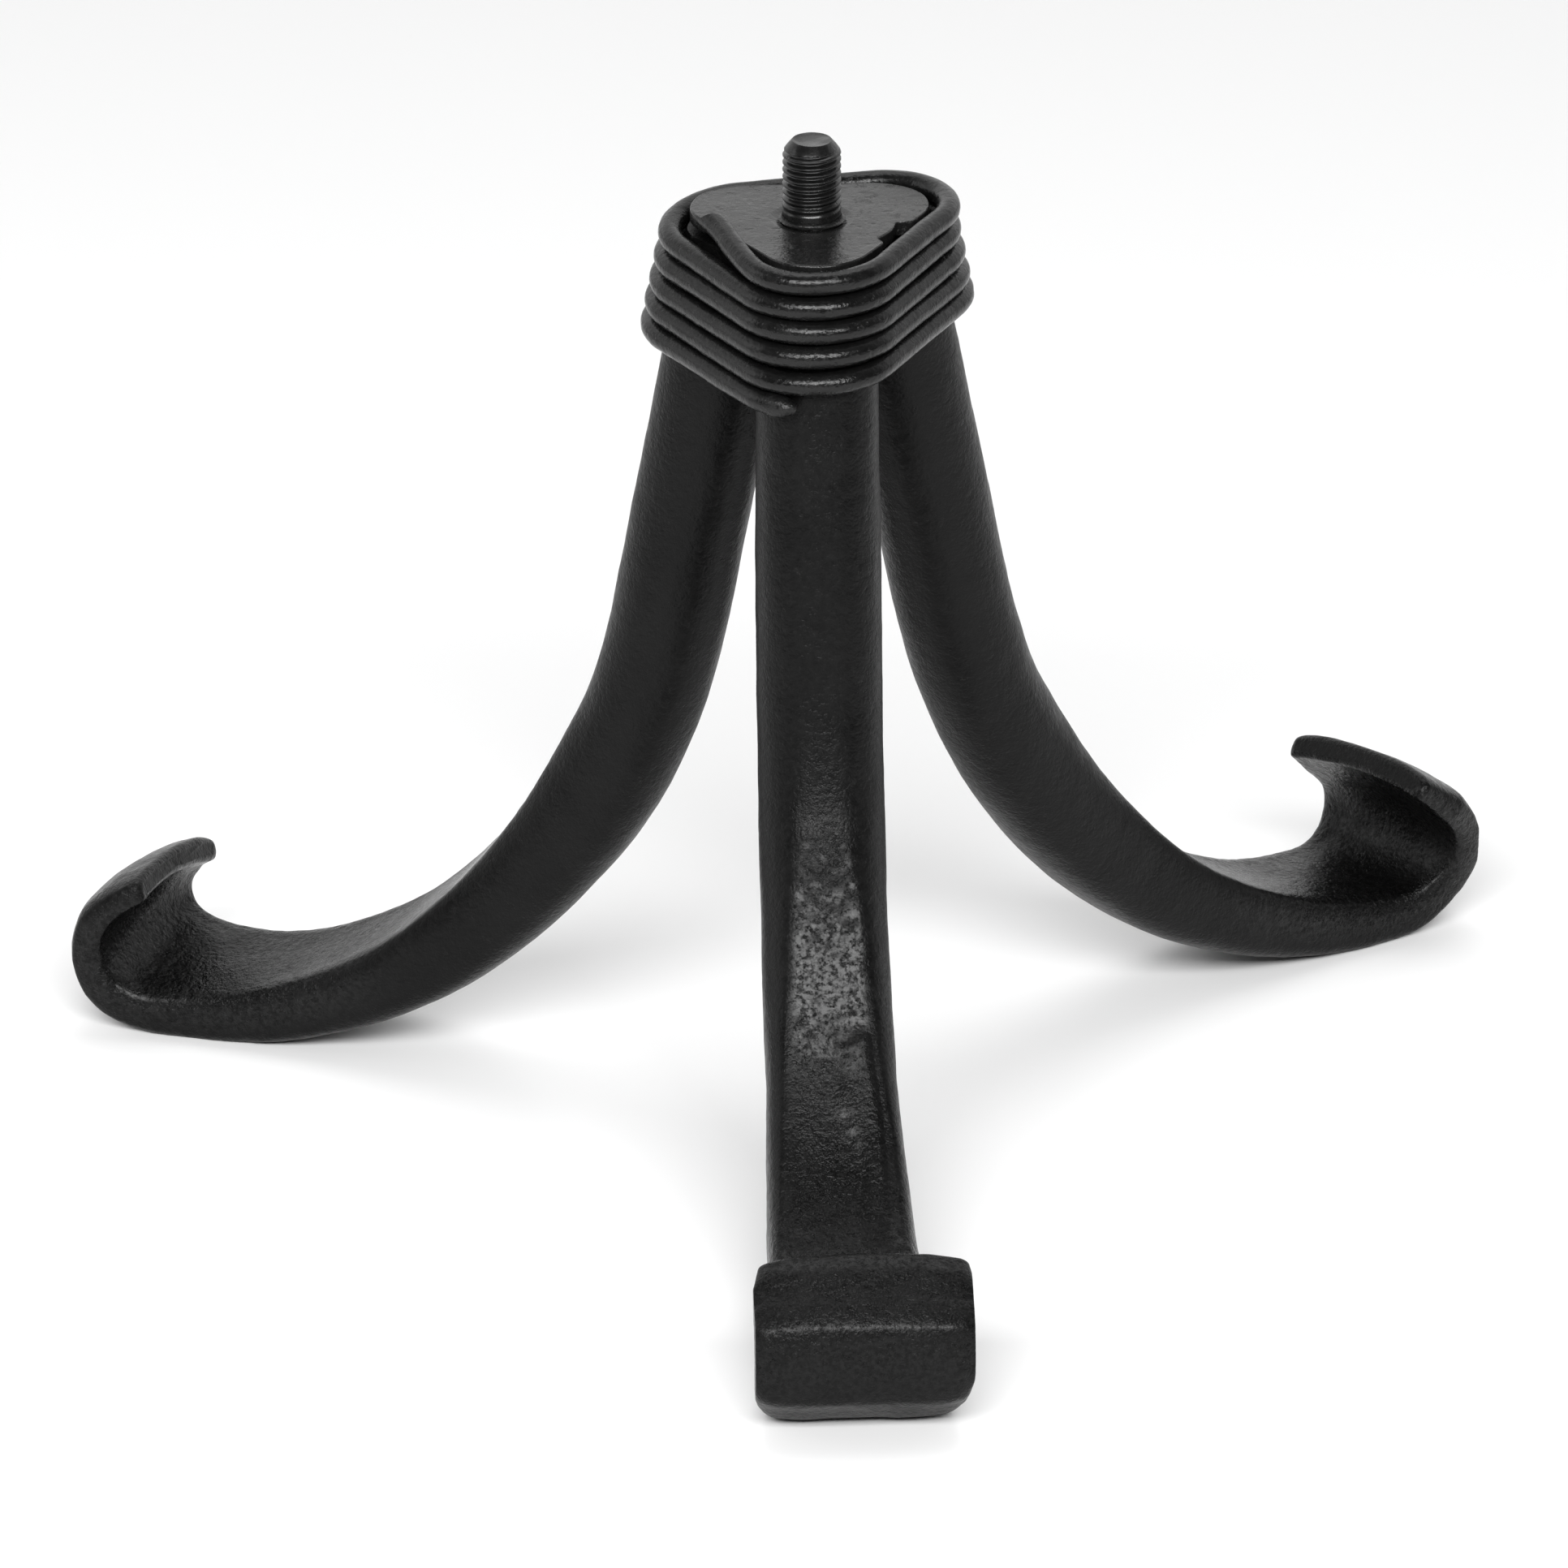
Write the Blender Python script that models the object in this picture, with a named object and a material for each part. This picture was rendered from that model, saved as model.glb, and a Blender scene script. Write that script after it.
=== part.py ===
"""Trumpet stand base: three scrolled iron legs bound with wire under a threaded stud.

Each leg starts as a round bar, leans outwards, is forged flat on its upper side towards the foot,
and ends in a strip rolled up and back into a C-shaped scroll.  The bars meet at the top, where a
wire is wound around them, and a plate with a threaded stud closes the bundle.

Frame: metres, +Z up, the front leg runs towards -Y and the feet stand on z = 0.  The origin is the
middle of the object's own box at floor level, so the stud's axis lies a little off it.
"""

import math
from dataclasses import dataclass

import bmesh
import bpy
import numpy as np

# ------------------------------------------------------------------ driving dimensions (metres)
GAP = 0.0003                      # clearance kept between neighbouring pieces

BAR_RADIUS = 0.0100               # the legs are forged from round bar
BAR_CIRCLE = 0.0120               # stand axis to each bar's axis, at the top of the bundle
BUNDLE_TOP = 0.1592               # height of the bars' sawn ends
LEG_TILT = math.radians(11.3)     # lean of each bar where it leaves the bundle

# A leg's centre line, from the top down: a straight run, then tangent arcs.
STRAIGHT_RUN = 0.0726
SWEEP_LENGTH, SWEEP_RADIUS = 0.0793, 0.1132     # the long outward sweep
HEEL_LENGTH, HEEL_RADIUS = 0.0558, 0.0682       # the turn that meets the floor
SCROLL_LENGTH, SCROLL_RADIUS = 0.0245, 0.0098   # the scroll itself
LIP_RADIUS = 0.0500               # the nearly straight lip after the scroll
ARC_BLEND = 0.008                 # run over which one arc eases into the next
LIP_ROUNDING = 0.0025             # radius of the lip's worn edge

# Half-width and half-thickness along the leg, as factors on the bar's radius.
FORGING_STATIONS = (0.0, 0.45, 0.60, 0.75, 0.88, 0.96, 1.0)
WIDTH_FACTORS = (1.0, 1.01, 1.04, 1.21, 1.52, 1.80, 1.47)
THICKNESS_FACTORS = (1.0, 1.0, 0.84, 0.65, 0.48, 0.40, 0.29)
FLAT_START, FLAT_FULL = 0.45, 0.65              # where the flat starts, and where it is full
FOOT_HOLLOW = 0.0010              # the strip's edges flare out of the roll by this much
SOLE_DEPTH = 0.00070              # how far the sole is worn flat where it meets the floor

STUD_RADIUS = 0.0049              # M10, a little under its nominal size
THREAD_PITCH = 0.00125
THREAD_DEPTH = 0.00068
THREAD_RINGS = 8
STUD_HEIGHT = 0.0138              # above the plate
STUD_CHAMFER, CHAMFER_HEIGHT = 0.0016, 0.0022

PLATE_THICKNESS = 0.0025
PLATE_CORNER = 0.0095             # radius of the plate's three corners, about the bars' axes
COUNTERSINK = 0.0006              # depth to which the stud's hole is opened out for its weld
PLATE_WELD_HEIGHT = 0.0006        # weld metal between the bars' ends and the plate
PLATE_WELD_RADIUS = 0.0040
CORE_WELD_RADIUS = 0.0012
CORE_WELD_LENGTH = 0.0150
STUD_WELD_RADIUS = 0.0066
STUD_WELD_HEIGHT = 0.0012

WIRE_RADIUS = 0.00195
WIRE_PITCH = 0.0041
WIRE_CREST = -0.0008              # height of the first turn's middle over the plate
WIRE_LEAN = (0.055, 0.045)        # slopes by which the coil rises to the right and to the back
WIRE_START, WIRE_END = -0.17, 4.95              # in turns, counted from the front leg's crown
TACK_LENGTH = 0.0045

LEG_SIDES, WIRE_SIDES, TURNED_SIDES = 20, 8, 24
WIRE_STEPS = 36                   # points per turn

PLATE_BOTTOM = BUNDLE_TOP + PLATE_WELD_HEIGHT + 2 * GAP
PLATE_TOP = PLATE_BOTTOM + PLATE_THICKNESS


@dataclass(frozen=True)
class Leg:
    """One leg; the three were bent by hand, so they differ slightly."""

    name: str
    seat: float          # direction of the bar in the bundle, degrees from the front, + to the right
    heading: float       # direction the leg runs in, degrees
    tilt: float          # extra lean at the top, degrees
    bend: float          # factor on the sweep's and the heel's curvature
    curl: float          # factor on the scroll's curvature
    lip: float           # length of the lip after the scroll, metres
    twist: float         # turn of the foot about the leg's own line, degrees
    drift: float         # sideways drift of the foot, metres


LEGS = (
    Leg("front_leg", 0.0, 0.0, -0.8, 0.908, 1.065, 0.0070, 0.0, 0.0025),
    Leg("right_leg", 120.0, 128.5, 3.0, 0.888, 0.92, 0.0114, 3.5, -0.0060),
    Leg("left_leg", -120.0, -111.4, -0.3, 0.993, 1.117, 0.0026, -9.3, -0.0044),
)


@dataclass(frozen=True)
class Finish:
    """Colour and gloss of one kind of surface."""

    name: str
    colour: tuple
    roughness: float
    metallic: float


FORGED_PAINT = Finish("forged_paint", (0.020, 0.020, 0.021, 1.0), 0.42, 0.0)
PLATE_PAINT = Finish("plate_paint", (0.030, 0.030, 0.031, 1.0), 0.38, 0.0)
STUD_PAINT = Finish("stud_paint", (0.018, 0.018, 0.019, 1.0), 0.36, 0.0)
WIRE_PAINT = Finish("wire_paint", (0.022, 0.022, 0.023, 1.0), 0.34, 0.0)
WELD_PAINT = Finish("weld_paint", (0.024, 0.024, 0.025, 1.0), 0.40, 0.0)


# ------------------------------------------------------------------ shared builders
def direction(degrees):
    """Unit vectors outwards and sideways for an angle from the front, positive to the right."""
    angle = math.radians(degrees)
    outward = np.array([math.sin(angle), -math.cos(angle), 0.0])
    sideways = np.array([math.cos(angle), math.sin(angle), 0.0])
    return outward, sideways


def running_sum(values, step):
    """Integral of values sampled every step, starting from zero."""
    return np.concatenate([[0.0], np.cumsum((values[1:] + values[:-1]) / 2 * step)])


def point_outwards(mesh):
    """Turn a closed mesh's faces so that they all point out."""
    work = bmesh.new()
    work.from_mesh(mesh)
    bmesh.ops.recalc_face_normals(work, faces=work.faces)
    work.to_mesh(mesh)
    work.free()


def skin(name, rings, finish, parent, wrap=False):
    """Join equal rings of points into one closed body, capped at its ends or wrapped on itself."""
    count, sides = rings.shape[:2]
    index = np.arange(count * sides).reshape(count, sides)
    if wrap:
        index = np.vstack([index, index[:1]])
    here, beyond = index[:-1], index[1:]
    quads = np.stack([here, np.roll(here, -1, 1), np.roll(beyond, -1, 1), beyond], axis=-1)
    faces = quads.reshape(-1, 4).tolist()
    if not wrap:
        faces += [index[0][::-1].tolist(), index[-1].tolist()]
    mesh = bpy.data.meshes.new(name)
    mesh.from_pydata(rings.reshape(-1, 3).tolist(), [], faces)
    point_outwards(mesh)
    mesh.shade_smooth()
    mesh.set_sharp_from_angle(angle=math.radians(40))
    mesh.materials.append(painted(finish))
    piece = bpy.data.objects.new(name, mesh)
    piece.parent = parent
    bpy.context.collection.objects.link(piece)
    return piece


def turned_rings(profile, sides=TURNED_SIDES, centre=(0.0, 0.0)):
    """Rings of a turned shape, from (radius, height) points that run upwards on its outer side."""
    angles = np.linspace(0, 2 * np.pi, sides, endpoint=False)
    profile = np.array(profile)
    x = centre[0] + profile[:, :1] * np.cos(angles)
    y = centre[1] + profile[:, :1] * np.sin(angles)
    z = np.broadcast_to(profile[:, 1:], x.shape)
    return np.stack([x, y, z], axis=-1)


def painted(finish):
    """The Principled material of a finish, made once."""
    known = bpy.data.materials.get(finish.name)
    if known:
        return known
    material = bpy.data.materials.new(finish.name)
    material.use_nodes = True
    shader = material.node_tree.nodes["Principled BSDF"]
    shader.inputs["Base Color"].default_value = finish.colour
    shader.inputs["Roughness"].default_value = finish.roughness
    shader.inputs["Metallic"].default_value = finish.metallic
    material.diffuse_color = finish.colour
    return material


# ------------------------------------------------------------------ legs
def leg_stations(lip):
    """Distances down a leg at which it gets a ring: wide apart up the bar, close in the scroll."""
    runs = ((STRAIGHT_RUN, 4), (SWEEP_LENGTH, 10), (HEEL_LENGTH, 9), (SCROLL_LENGTH, 14))
    marks, start = [], 0.0
    for run, count in runs:
        marks.append(np.linspace(start, start + run, count, endpoint=False))
        start += run
    edge = start + lip - LIP_ROUNDING
    marks.append(np.linspace(start, edge, 3, endpoint=False))
    marks.append(edge + np.sin(np.linspace(0, 0.44 * np.pi, 4)) * LIP_ROUNDING)
    return np.concatenate(marks)


def leg_line(leg, stations):
    """Reach, height and heading angle of a leg's centre line at the given distances.

    The curvature is a staircase of the arcs' curvatures with eased steps; its integral is the
    angle from straight down, and the integral of that direction is the line.
    """
    bends = np.array([0.0, leg.bend / SWEEP_RADIUS, leg.bend / HEEL_RADIUS,
                      leg.curl / SCROLL_RADIUS, 1.0 / LIP_RADIUS])
    starts = np.cumsum([STRAIGHT_RUN, SWEEP_LENGTH, HEEL_LENGTH, SCROLL_LENGTH])
    fine = np.linspace(0.0, stations[-1], 2000)
    step = fine[1]
    eased = np.clip((fine[:, None] - starts) / ARC_BLEND + 0.5, 0.0, 1.0)
    curvature = eased @ np.diff(bends)
    angle = LEG_TILT + math.radians(leg.tilt) + running_sum(curvature, step)
    reach = running_sum(np.sin(angle), step)
    height = -running_sum(np.cos(angle), step)
    return [np.interp(stations, fine, values) for values in (reach, height, angle)]


def bar_section(stations, length):
    """Offsets across and through the bar at each station, from round bar to forged strip.

    Each ring is a superellipse: both exponents are 1 on the round bar, and shrink where the bar is
    flat, so that the upper face becomes level between rounded rims and the underside stays fuller.
    """
    place = stations / length
    width = BAR_RADIUS * np.interp(place, FORGING_STATIONS, WIDTH_FACTORS)[:, None]
    thick = BAR_RADIUS * np.interp(place, FORGING_STATIONS, THICKNESS_FACTORS)[:, None]
    flat = np.clip((place - FLAT_START) / (FLAT_FULL - FLAT_START), 0.0, 1.0)[:, None]
    to_end = np.clip((stations - (length - LIP_ROUNDING)) / LIP_ROUNDING, 0.0, 1.0)[:, None]
    rounding = np.sqrt(1.0 - to_end ** 2)
    width = width - LIP_ROUNDING * (1.0 - rounding)
    thick = thick * (0.25 + 0.75 * rounding)

    angles = np.linspace(0, 2 * np.pi, LEG_SIDES, endpoint=False) + np.pi / LEG_SIDES
    cosine, sine = np.cos(angles)[None, :], np.sin(angles)[None, :]
    upper = np.sign(sine) * np.abs(sine) ** (1.0 - 0.55 * flat)
    lower = np.sign(sine) * np.abs(sine) ** (1.0 - 0.35 * flat)
    across = width * np.sign(cosine) * np.abs(cosine) ** (1.0 - 0.35 * flat)
    through = thick * np.where(sine > 0, upper, lower)
    foot = np.clip((place - 0.70) / 0.15, 0.0, 1.0)[:, None]
    through = through - FOOT_HOLLOW * foot * (across / width) ** 2
    return across, through


def leg_rings(leg):
    """Rings of points of one leg, standing on the floor and sawn level at the bundle's top."""
    stations = leg_stations(leg.lip)
    length = stations[-1]
    reach, height, angle = leg_line(leg, stations)
    across, through = bar_section(stations, length)

    place = stations / length
    drift = leg.drift * np.clip((place - 0.35) / 0.65, 0.0, 1.0)[:, None] ** 2
    twist = math.radians(leg.twist) * np.clip((place - 0.55) / 0.45, 0.0, 1.0)[:, None]
    side = drift + across * np.cos(twist) - through * np.sin(twist)
    lift = across * np.sin(twist) + through * np.cos(twist)
    radial = reach[:, None] + lift * np.cos(angle)[:, None]
    level = height[:, None] + lift * np.sin(angle)[:, None]
    level -= level.min() + SOLE_DEPTH

    tilt = angle[0]
    above = (level[0].mean() - BUNDLE_TOP)
    start = BAR_CIRCLE * direction(leg.seat)[0] - above * math.tan(tilt) * direction(leg.heading)[0]
    level_cut = level[0] - BUNDLE_TOP
    radial[0] += level_cut * math.tan(tilt)
    level[0] = BUNDLE_TOP

    outward, sideways = direction(leg.heading)
    points = start + radial[..., None] * outward + side[..., None] * sideways
    points[..., 2] = np.maximum(level, 0.0)
    return points


# ------------------------------------------------------------------ binding wire and plate
def bundle_loop(turns, height, clearance):
    """Points of the tightest rounded triangle around the bars, at each turn and height.

    In direction a its radius is the least, over all side normals p, of support(p) / cos(p - a),
    where support(p) is the furthest bar axis along p plus the clearance.
    """
    drop = BUNDLE_TOP - height
    centres = []
    for leg in LEGS:
        lean = math.tan(LEG_TILT + math.radians(leg.tilt))
        seat, heading = direction(leg.seat)[0][:2], direction(leg.heading)[0][:2]
        centres.append(BAR_CIRCLE * seat + np.maximum(drop, 0.0)[:, None] * lean * heading)
    centres = np.stack(centres, axis=1)

    azimuth = 2 * np.pi * turns
    normals = np.linspace(0, 2 * np.pi, 720, endpoint=False)
    normal_xy = np.stack([np.sin(normals), -np.cos(normals)])
    support = (centres @ normal_xy).max(axis=1) + clearance
    facing = np.cos(normals[None, :] - azimuth[:, None])
    radius = np.where(facing > 0.2, support / np.maximum(facing, 0.2), np.inf).min(axis=1)
    return np.stack([radius * np.sin(azimuth), -radius * np.cos(azimuth), height], axis=-1)


def wire_line(turns):
    """Centre line of the wire: it follows the bundle's loop and drops one pitch a turn."""
    steepest = LEG_TILT + math.radians(max(leg.tilt for leg in LEGS))
    clearance = (BAR_RADIUS + GAP + WIRE_RADIUS) / math.cos(steepest)
    height = PLATE_TOP + WIRE_CREST - WIRE_PITCH * turns
    level = bundle_loop(turns, height, clearance)
    return bundle_loop(turns, height + level[:, :2] @ WIRE_LEAN, clearance)


def tube_rings(line, radii, sides=WIRE_SIDES):
    """Rings of a round tube along a line that never runs straight up."""
    along = np.gradient(line, axis=0)
    along /= np.linalg.norm(along, axis=1, keepdims=True)
    out = np.cross(along, [0.0, 0.0, 1.0])
    out /= np.linalg.norm(out, axis=1, keepdims=True)
    rise = np.cross(out, along)
    angles = np.linspace(0, 2 * np.pi, sides, endpoint=False)[None, :, None]
    spokes = np.cos(angles) * out[:, None, :] + np.sin(angles) * rise[:, None, :]
    return line[:, None, :] + np.asarray(radii)[:, None, None] * spokes


def make_wire(parent):
    """One length of wire, wound from the plate's edge down to the front leg's crown."""
    steps = round((WIRE_END - WIRE_START) * WIRE_STEPS)
    turns = np.linspace(WIRE_START, WIRE_END, steps + 1)
    line = wire_line(turns)
    return skin("binding_wire", tube_rings(line, np.full(len(line), WIRE_RADIUS)), WIRE_PAINT, parent)


def make_wire_tack(parent):
    """The weld lump that holds the wire's lower end on the front leg."""
    reach = 2 * np.pi * (BAR_CIRCLE + BAR_RADIUS + WIRE_RADIUS + 0.005)
    first = WIRE_END + 2 * GAP / reach
    turns = np.linspace(first, first + TACK_LENGTH / reach, 6)
    fade = np.linspace(0.0, 1.0, 6)
    radii = WIRE_RADIUS * (1.0 - 0.75 * fade ** 2)
    line = wire_line(turns)
    return skin("wire_tack_weld", tube_rings(line, radii), WELD_PAINT, parent)


def make_plate(parent):
    """Rounded-triangle plate on the bars' ends, with a countersunk hole for the stud."""
    turns = np.arange(48) / 48
    outline = bundle_loop(-turns, np.full(48, BUNDLE_TOP), PLATE_CORNER)[:, :2]
    angle = np.arctan2(outline[:, 1], outline[:, 0])
    spokes = np.stack([np.cos(angle), np.sin(angle)], axis=-1)
    hole, weld_edge = (STUD_RADIUS + GAP) * spokes, (STUD_WELD_RADIUS + GAP) * spokes
    corners = ((outline, PLATE_TOP), (weld_edge, PLATE_TOP), (hole, PLATE_TOP - COUNTERSINK),
               (hole, PLATE_BOTTOM), (outline, PLATE_BOTTOM))
    rings = np.stack([np.column_stack([xy, np.full(48, z)]) for xy, z in corners])
    return skin("top_plate", rings, PLATE_PAINT, parent, wrap=True)


# ------------------------------------------------------------------ stud and welds
def make_stud(parent):
    """Stud: plain shank through the plate, a coarse thread, and a chamfered flat tip."""
    tip = PLATE_TOP + STUD_HEIGHT
    thread_top = tip - CHAMFER_HEIGHT
    thread_bottom = thread_top - THREAD_RINGS * THREAD_PITCH
    profile = [(STUD_RADIUS, PLATE_BOTTOM), (STUD_RADIUS, thread_bottom)]
    for ring in range(THREAD_RINGS):
        root = thread_bottom + (ring + 0.5) * THREAD_PITCH
        profile.append((STUD_RADIUS - THREAD_DEPTH, root))
        profile.append((STUD_RADIUS, root + 0.5 * THREAD_PITCH))
    profile.append((STUD_RADIUS - STUD_CHAMFER, tip))
    return skin("threaded_stud", turned_rings(profile), STUD_PAINT, parent)


def make_stud_weld(parent):
    """Fillet weld around the foot of the stud."""
    inner, foot = STUD_RADIUS + GAP, PLATE_TOP + GAP
    profile = [(inner, foot), (STUD_WELD_RADIUS, foot),
               (inner + 0.0004, foot + 0.0005), (inner, foot + STUD_WELD_HEIGHT)]
    return skin("stud_weld", turned_rings(profile), WELD_PAINT, parent, wrap=True)


def make_bundle_welds(parent):
    """Hidden welds: a plug between the bars, and a pad between each bar's end and the plate."""
    top = BUNDLE_TOP - GAP
    plug = [(CORE_WELD_RADIUS, top - CORE_WELD_LENGTH), (CORE_WELD_RADIUS, top)]
    skin("core_weld", turned_rings(plug, sides=12), WELD_PAINT, parent)
    pad_bottom = BUNDLE_TOP + GAP
    pad = [(PLATE_WELD_RADIUS, pad_bottom), (PLATE_WELD_RADIUS, pad_bottom + PLATE_WELD_HEIGHT)]
    for leg in LEGS:
        centre = BAR_CIRCLE * direction(leg.seat)[0][:2]
        name = leg.name.replace("_leg", "_plate_weld")
        skin(name, turned_rings(pad, sides=16, centre=centre), WELD_PAINT, parent)


# ------------------------------------------------------------------ assembly
def centre_on_box(parent, pieces):
    """Move the stand so that the middle of its box is over the origin."""
    corners = np.array([vertex.co for piece in pieces for vertex in piece.data.vertices])
    middle = (corners.min(axis=0) + corners.max(axis=0)) / 2
    parent.location = (-middle[0], -middle[1], 0.0)


def main():
    """Build every piece of the stand."""
    for old in list(bpy.data.objects):
        bpy.data.objects.remove(old)
    stand = bpy.data.objects.new("stand_axis", None)
    bpy.context.collection.objects.link(stand)

    for leg in LEGS:
        skin(leg.name, leg_rings(leg), FORGED_PAINT, stand)
    make_plate(stand)
    make_stud(stand)
    make_wire(stand)
    make_stud_weld(stand)
    make_wire_tack(stand)
    make_bundle_welds(stand)

    centre_on_box(stand, [piece for piece in bpy.data.objects if piece.type == "MESH"])
    bpy.context.view_layer.update()


main()
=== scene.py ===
"""Trumpet stand base: three scrolled iron legs, bound with wire under a plate and a threaded stud.

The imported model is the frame: every piece made here stands for one of its nodes and lies in the
same metres.  Shapes are functions of two parameters, worked out with numpy as whole grids.
"""

import logging
import math
from dataclasses import dataclass, field
from enum import Enum
from typing import Any, Optional, Sequence, Union

import bpy
import numpy as np
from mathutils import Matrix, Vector

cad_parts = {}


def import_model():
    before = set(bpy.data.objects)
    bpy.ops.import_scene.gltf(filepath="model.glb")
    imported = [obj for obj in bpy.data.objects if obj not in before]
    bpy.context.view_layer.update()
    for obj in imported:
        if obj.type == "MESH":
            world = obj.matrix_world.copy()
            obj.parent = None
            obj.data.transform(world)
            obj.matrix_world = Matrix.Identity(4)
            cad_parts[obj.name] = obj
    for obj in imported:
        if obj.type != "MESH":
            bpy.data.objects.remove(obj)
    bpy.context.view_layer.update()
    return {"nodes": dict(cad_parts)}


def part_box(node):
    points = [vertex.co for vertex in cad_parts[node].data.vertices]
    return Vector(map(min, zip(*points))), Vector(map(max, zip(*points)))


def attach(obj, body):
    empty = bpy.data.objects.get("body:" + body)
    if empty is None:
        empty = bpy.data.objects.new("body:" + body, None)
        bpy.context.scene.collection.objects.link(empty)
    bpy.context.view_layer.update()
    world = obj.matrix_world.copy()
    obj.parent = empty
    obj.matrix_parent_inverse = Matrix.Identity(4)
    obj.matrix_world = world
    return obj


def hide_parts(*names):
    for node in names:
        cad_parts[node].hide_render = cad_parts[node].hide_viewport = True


log = logging.getLogger("trumpet_stand")

MM = 0.001
FULL_TURN = 2.0 * math.pi
Number = Union[float, int]
Span = tuple[float, float]


# ------------------------------------------------------------------ measures shared by the pieces
@dataclass(frozen=True)
class Bundle:
    """Sizes of the bundle of bars, the same for the legs, the wire and the plate.

    Attributes:
        bar_radius: radius of the round bar.
        bar_circle: distance of the bars' middles from the stand's axis at their upper ends.
        top: height of the bars' upper ends.
        tilt: lean of the bars from straight down.
        gap: room left between neighbouring pieces.
        plate_bottom: height of the plate's lower face.
        plate_top: height of the plate's upper face.
    """

    bar_radius: float = 10.0 * MM
    bar_circle: float = 12.0 * MM
    top: float = 159.2 * MM
    tilt: float = math.radians(11.3)
    gap: float = 0.3 * MM
    plate_bottom: float = 160.4 * MM
    plate_top: float = 162.9 * MM


@dataclass(frozen=True)
class LegPlan:
    """How one hand-bent leg differs from its neighbours.

    Attributes:
        name: the leg's CAD node.
        seat: where its bar stands in the bundle, in degrees from the front.
        heading: the direction that it leans in, in degrees from the front.
        tilt: lean beyond the bundle's own, in degrees.
        bend: factor on the curvature of its sweep and heel.
        curl: factor on the curvature of its scroll.
        lip: length of the lip beyond the scroll.
        twist: turn of the flat about the middle line at the foot, in degrees.
        drift: how far the foot is bent sideways.
        facet: factor on the depth of the scroll's hammered facets.
        ridge: the middle line's angle where one ridge between facets lies, in degrees.
        pitch: distance from ridge to ridge.
        girth: factor on the bar's width.
        lapped: whether the flat has a folded lap.
        seed: picks the leg's marks.
    """

    name: str
    seat: float
    heading: float
    tilt: float
    bend: float
    curl: float
    lip: float
    twist: float
    drift: float
    facet: float
    ridge: float
    pitch: float
    girth: float
    lapped: bool
    seed: int


BUNDLE = Bundle()
LEG_PLANS = (
    LegPlan("front_leg", seat=0.0, heading=0.0, tilt=-0.8, bend=0.908, curl=1.050, lip=7.2 * MM,
            twist=0.0, drift=2.5 * MM, facet=1.10, ridge=208.0, pitch=9.5 * MM, girth=1.04,
            lapped=True, seed=11),
    LegPlan("right_leg", seat=120.0, heading=128.5, tilt=3.0, bend=0.888, curl=0.92, lip=11.4 * MM,
            twist=3.5, drift=-6.0 * MM, facet=0.55, ridge=224.0, pitch=14.0 * MM, girth=1.0,
            lapped=False, seed=23),
    LegPlan("left_leg", seat=-120.0, heading=-111.4, tilt=-0.3, bend=0.993, curl=1.050,
            lip=3.0 * MM, twist=-9.3, drift=-4.4 * MM, facet=0.30, ridge=205.0, pitch=12.0 * MM,
            girth=1.0, lapped=False, seed=37),
)


# ------------------------------------------------------------------ numbers worked out as arrays
CELL_PRIMES = np.array([73856093, 19349663, 83492791])
SEED_PRIME = 2654435761
STIR_STEPS = ((13, 1274126177), (15, 668265263))
LOW_31_BITS = 0x7FFFFFFF
LOW_24_BITS = 0xFFFFFF


def direction(degrees: float) -> tuple[np.ndarray, np.ndarray]:
    """Unit vectors outwards and sideways for an angle from the front, positive to the right.

    Args:
        degrees: the angle.
    Returns:
        The outward vector (sin a, -cos a, 0) and the sideways vector (cos a, sin a, 0).
    """
    angle = math.radians(degrees)
    return (np.array([math.sin(angle), -math.cos(angle), 0.0]),
            np.array([math.cos(angle), math.sin(angle), 0.0]))


def ease(value: np.ndarray, low: float, high: float) -> np.ndarray:
    """Smooth rise from 0 at low to 1 at high: 3x^2 - 2x^3 of the clipped fraction."""
    part = np.clip((value - low) / (high - low), 0.0, 1.0)
    return part * part * (3.0 - 2.0 * part)


def running_sum(values: np.ndarray, step: float) -> np.ndarray:
    """Integral of values sampled every step, starting from zero."""
    return np.concatenate([[0.0], np.cumsum((values[1:] + values[:-1]) / 2 * step)])


def unit(vectors: np.ndarray) -> np.ndarray:
    """Vectors divided by their lengths, along the last axis."""
    return vectors / np.maximum(np.linalg.norm(vectors, axis=-1, keepdims=True), 1e-12)


def turned(radii: np.ndarray, azimuth: np.ndarray, levels: np.ndarray) -> np.ndarray:
    """Points (r sin a, -r cos a, z) round the axis, from the front and positive to the right."""
    return np.stack([radii * np.sin(azimuth), -radii * np.cos(azimuth), levels], axis=-1)


def lattice(cell: np.ndarray, seed: int) -> np.ndarray:
    """A fixed pseudo-random value from 0 to 1 for each whole-number cell.

    The three cell numbers are multiplied by large primes and joined by exclusive-or, the seed is
    added, and two rounds of shift, exclusive-or and multiplication stir the low 31 bits, of which
    the upper 24 are the value.

    Args:
        cell: whole numbers, last axis of 3.
        seed: picks the pattern.
    Returns:
        One value for each cell.
    """
    mixed = np.bitwise_xor.reduce(cell * CELL_PRIMES, axis=-1)
    mixed = (mixed + seed * SEED_PRIME) & LOW_31_BITS
    for shift, prime in STIR_STEPS:
        mixed = ((mixed ^ (mixed >> shift)) * prime) & LOW_31_BITS
    return (mixed >> 7) / float(LOW_24_BITS)


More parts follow.
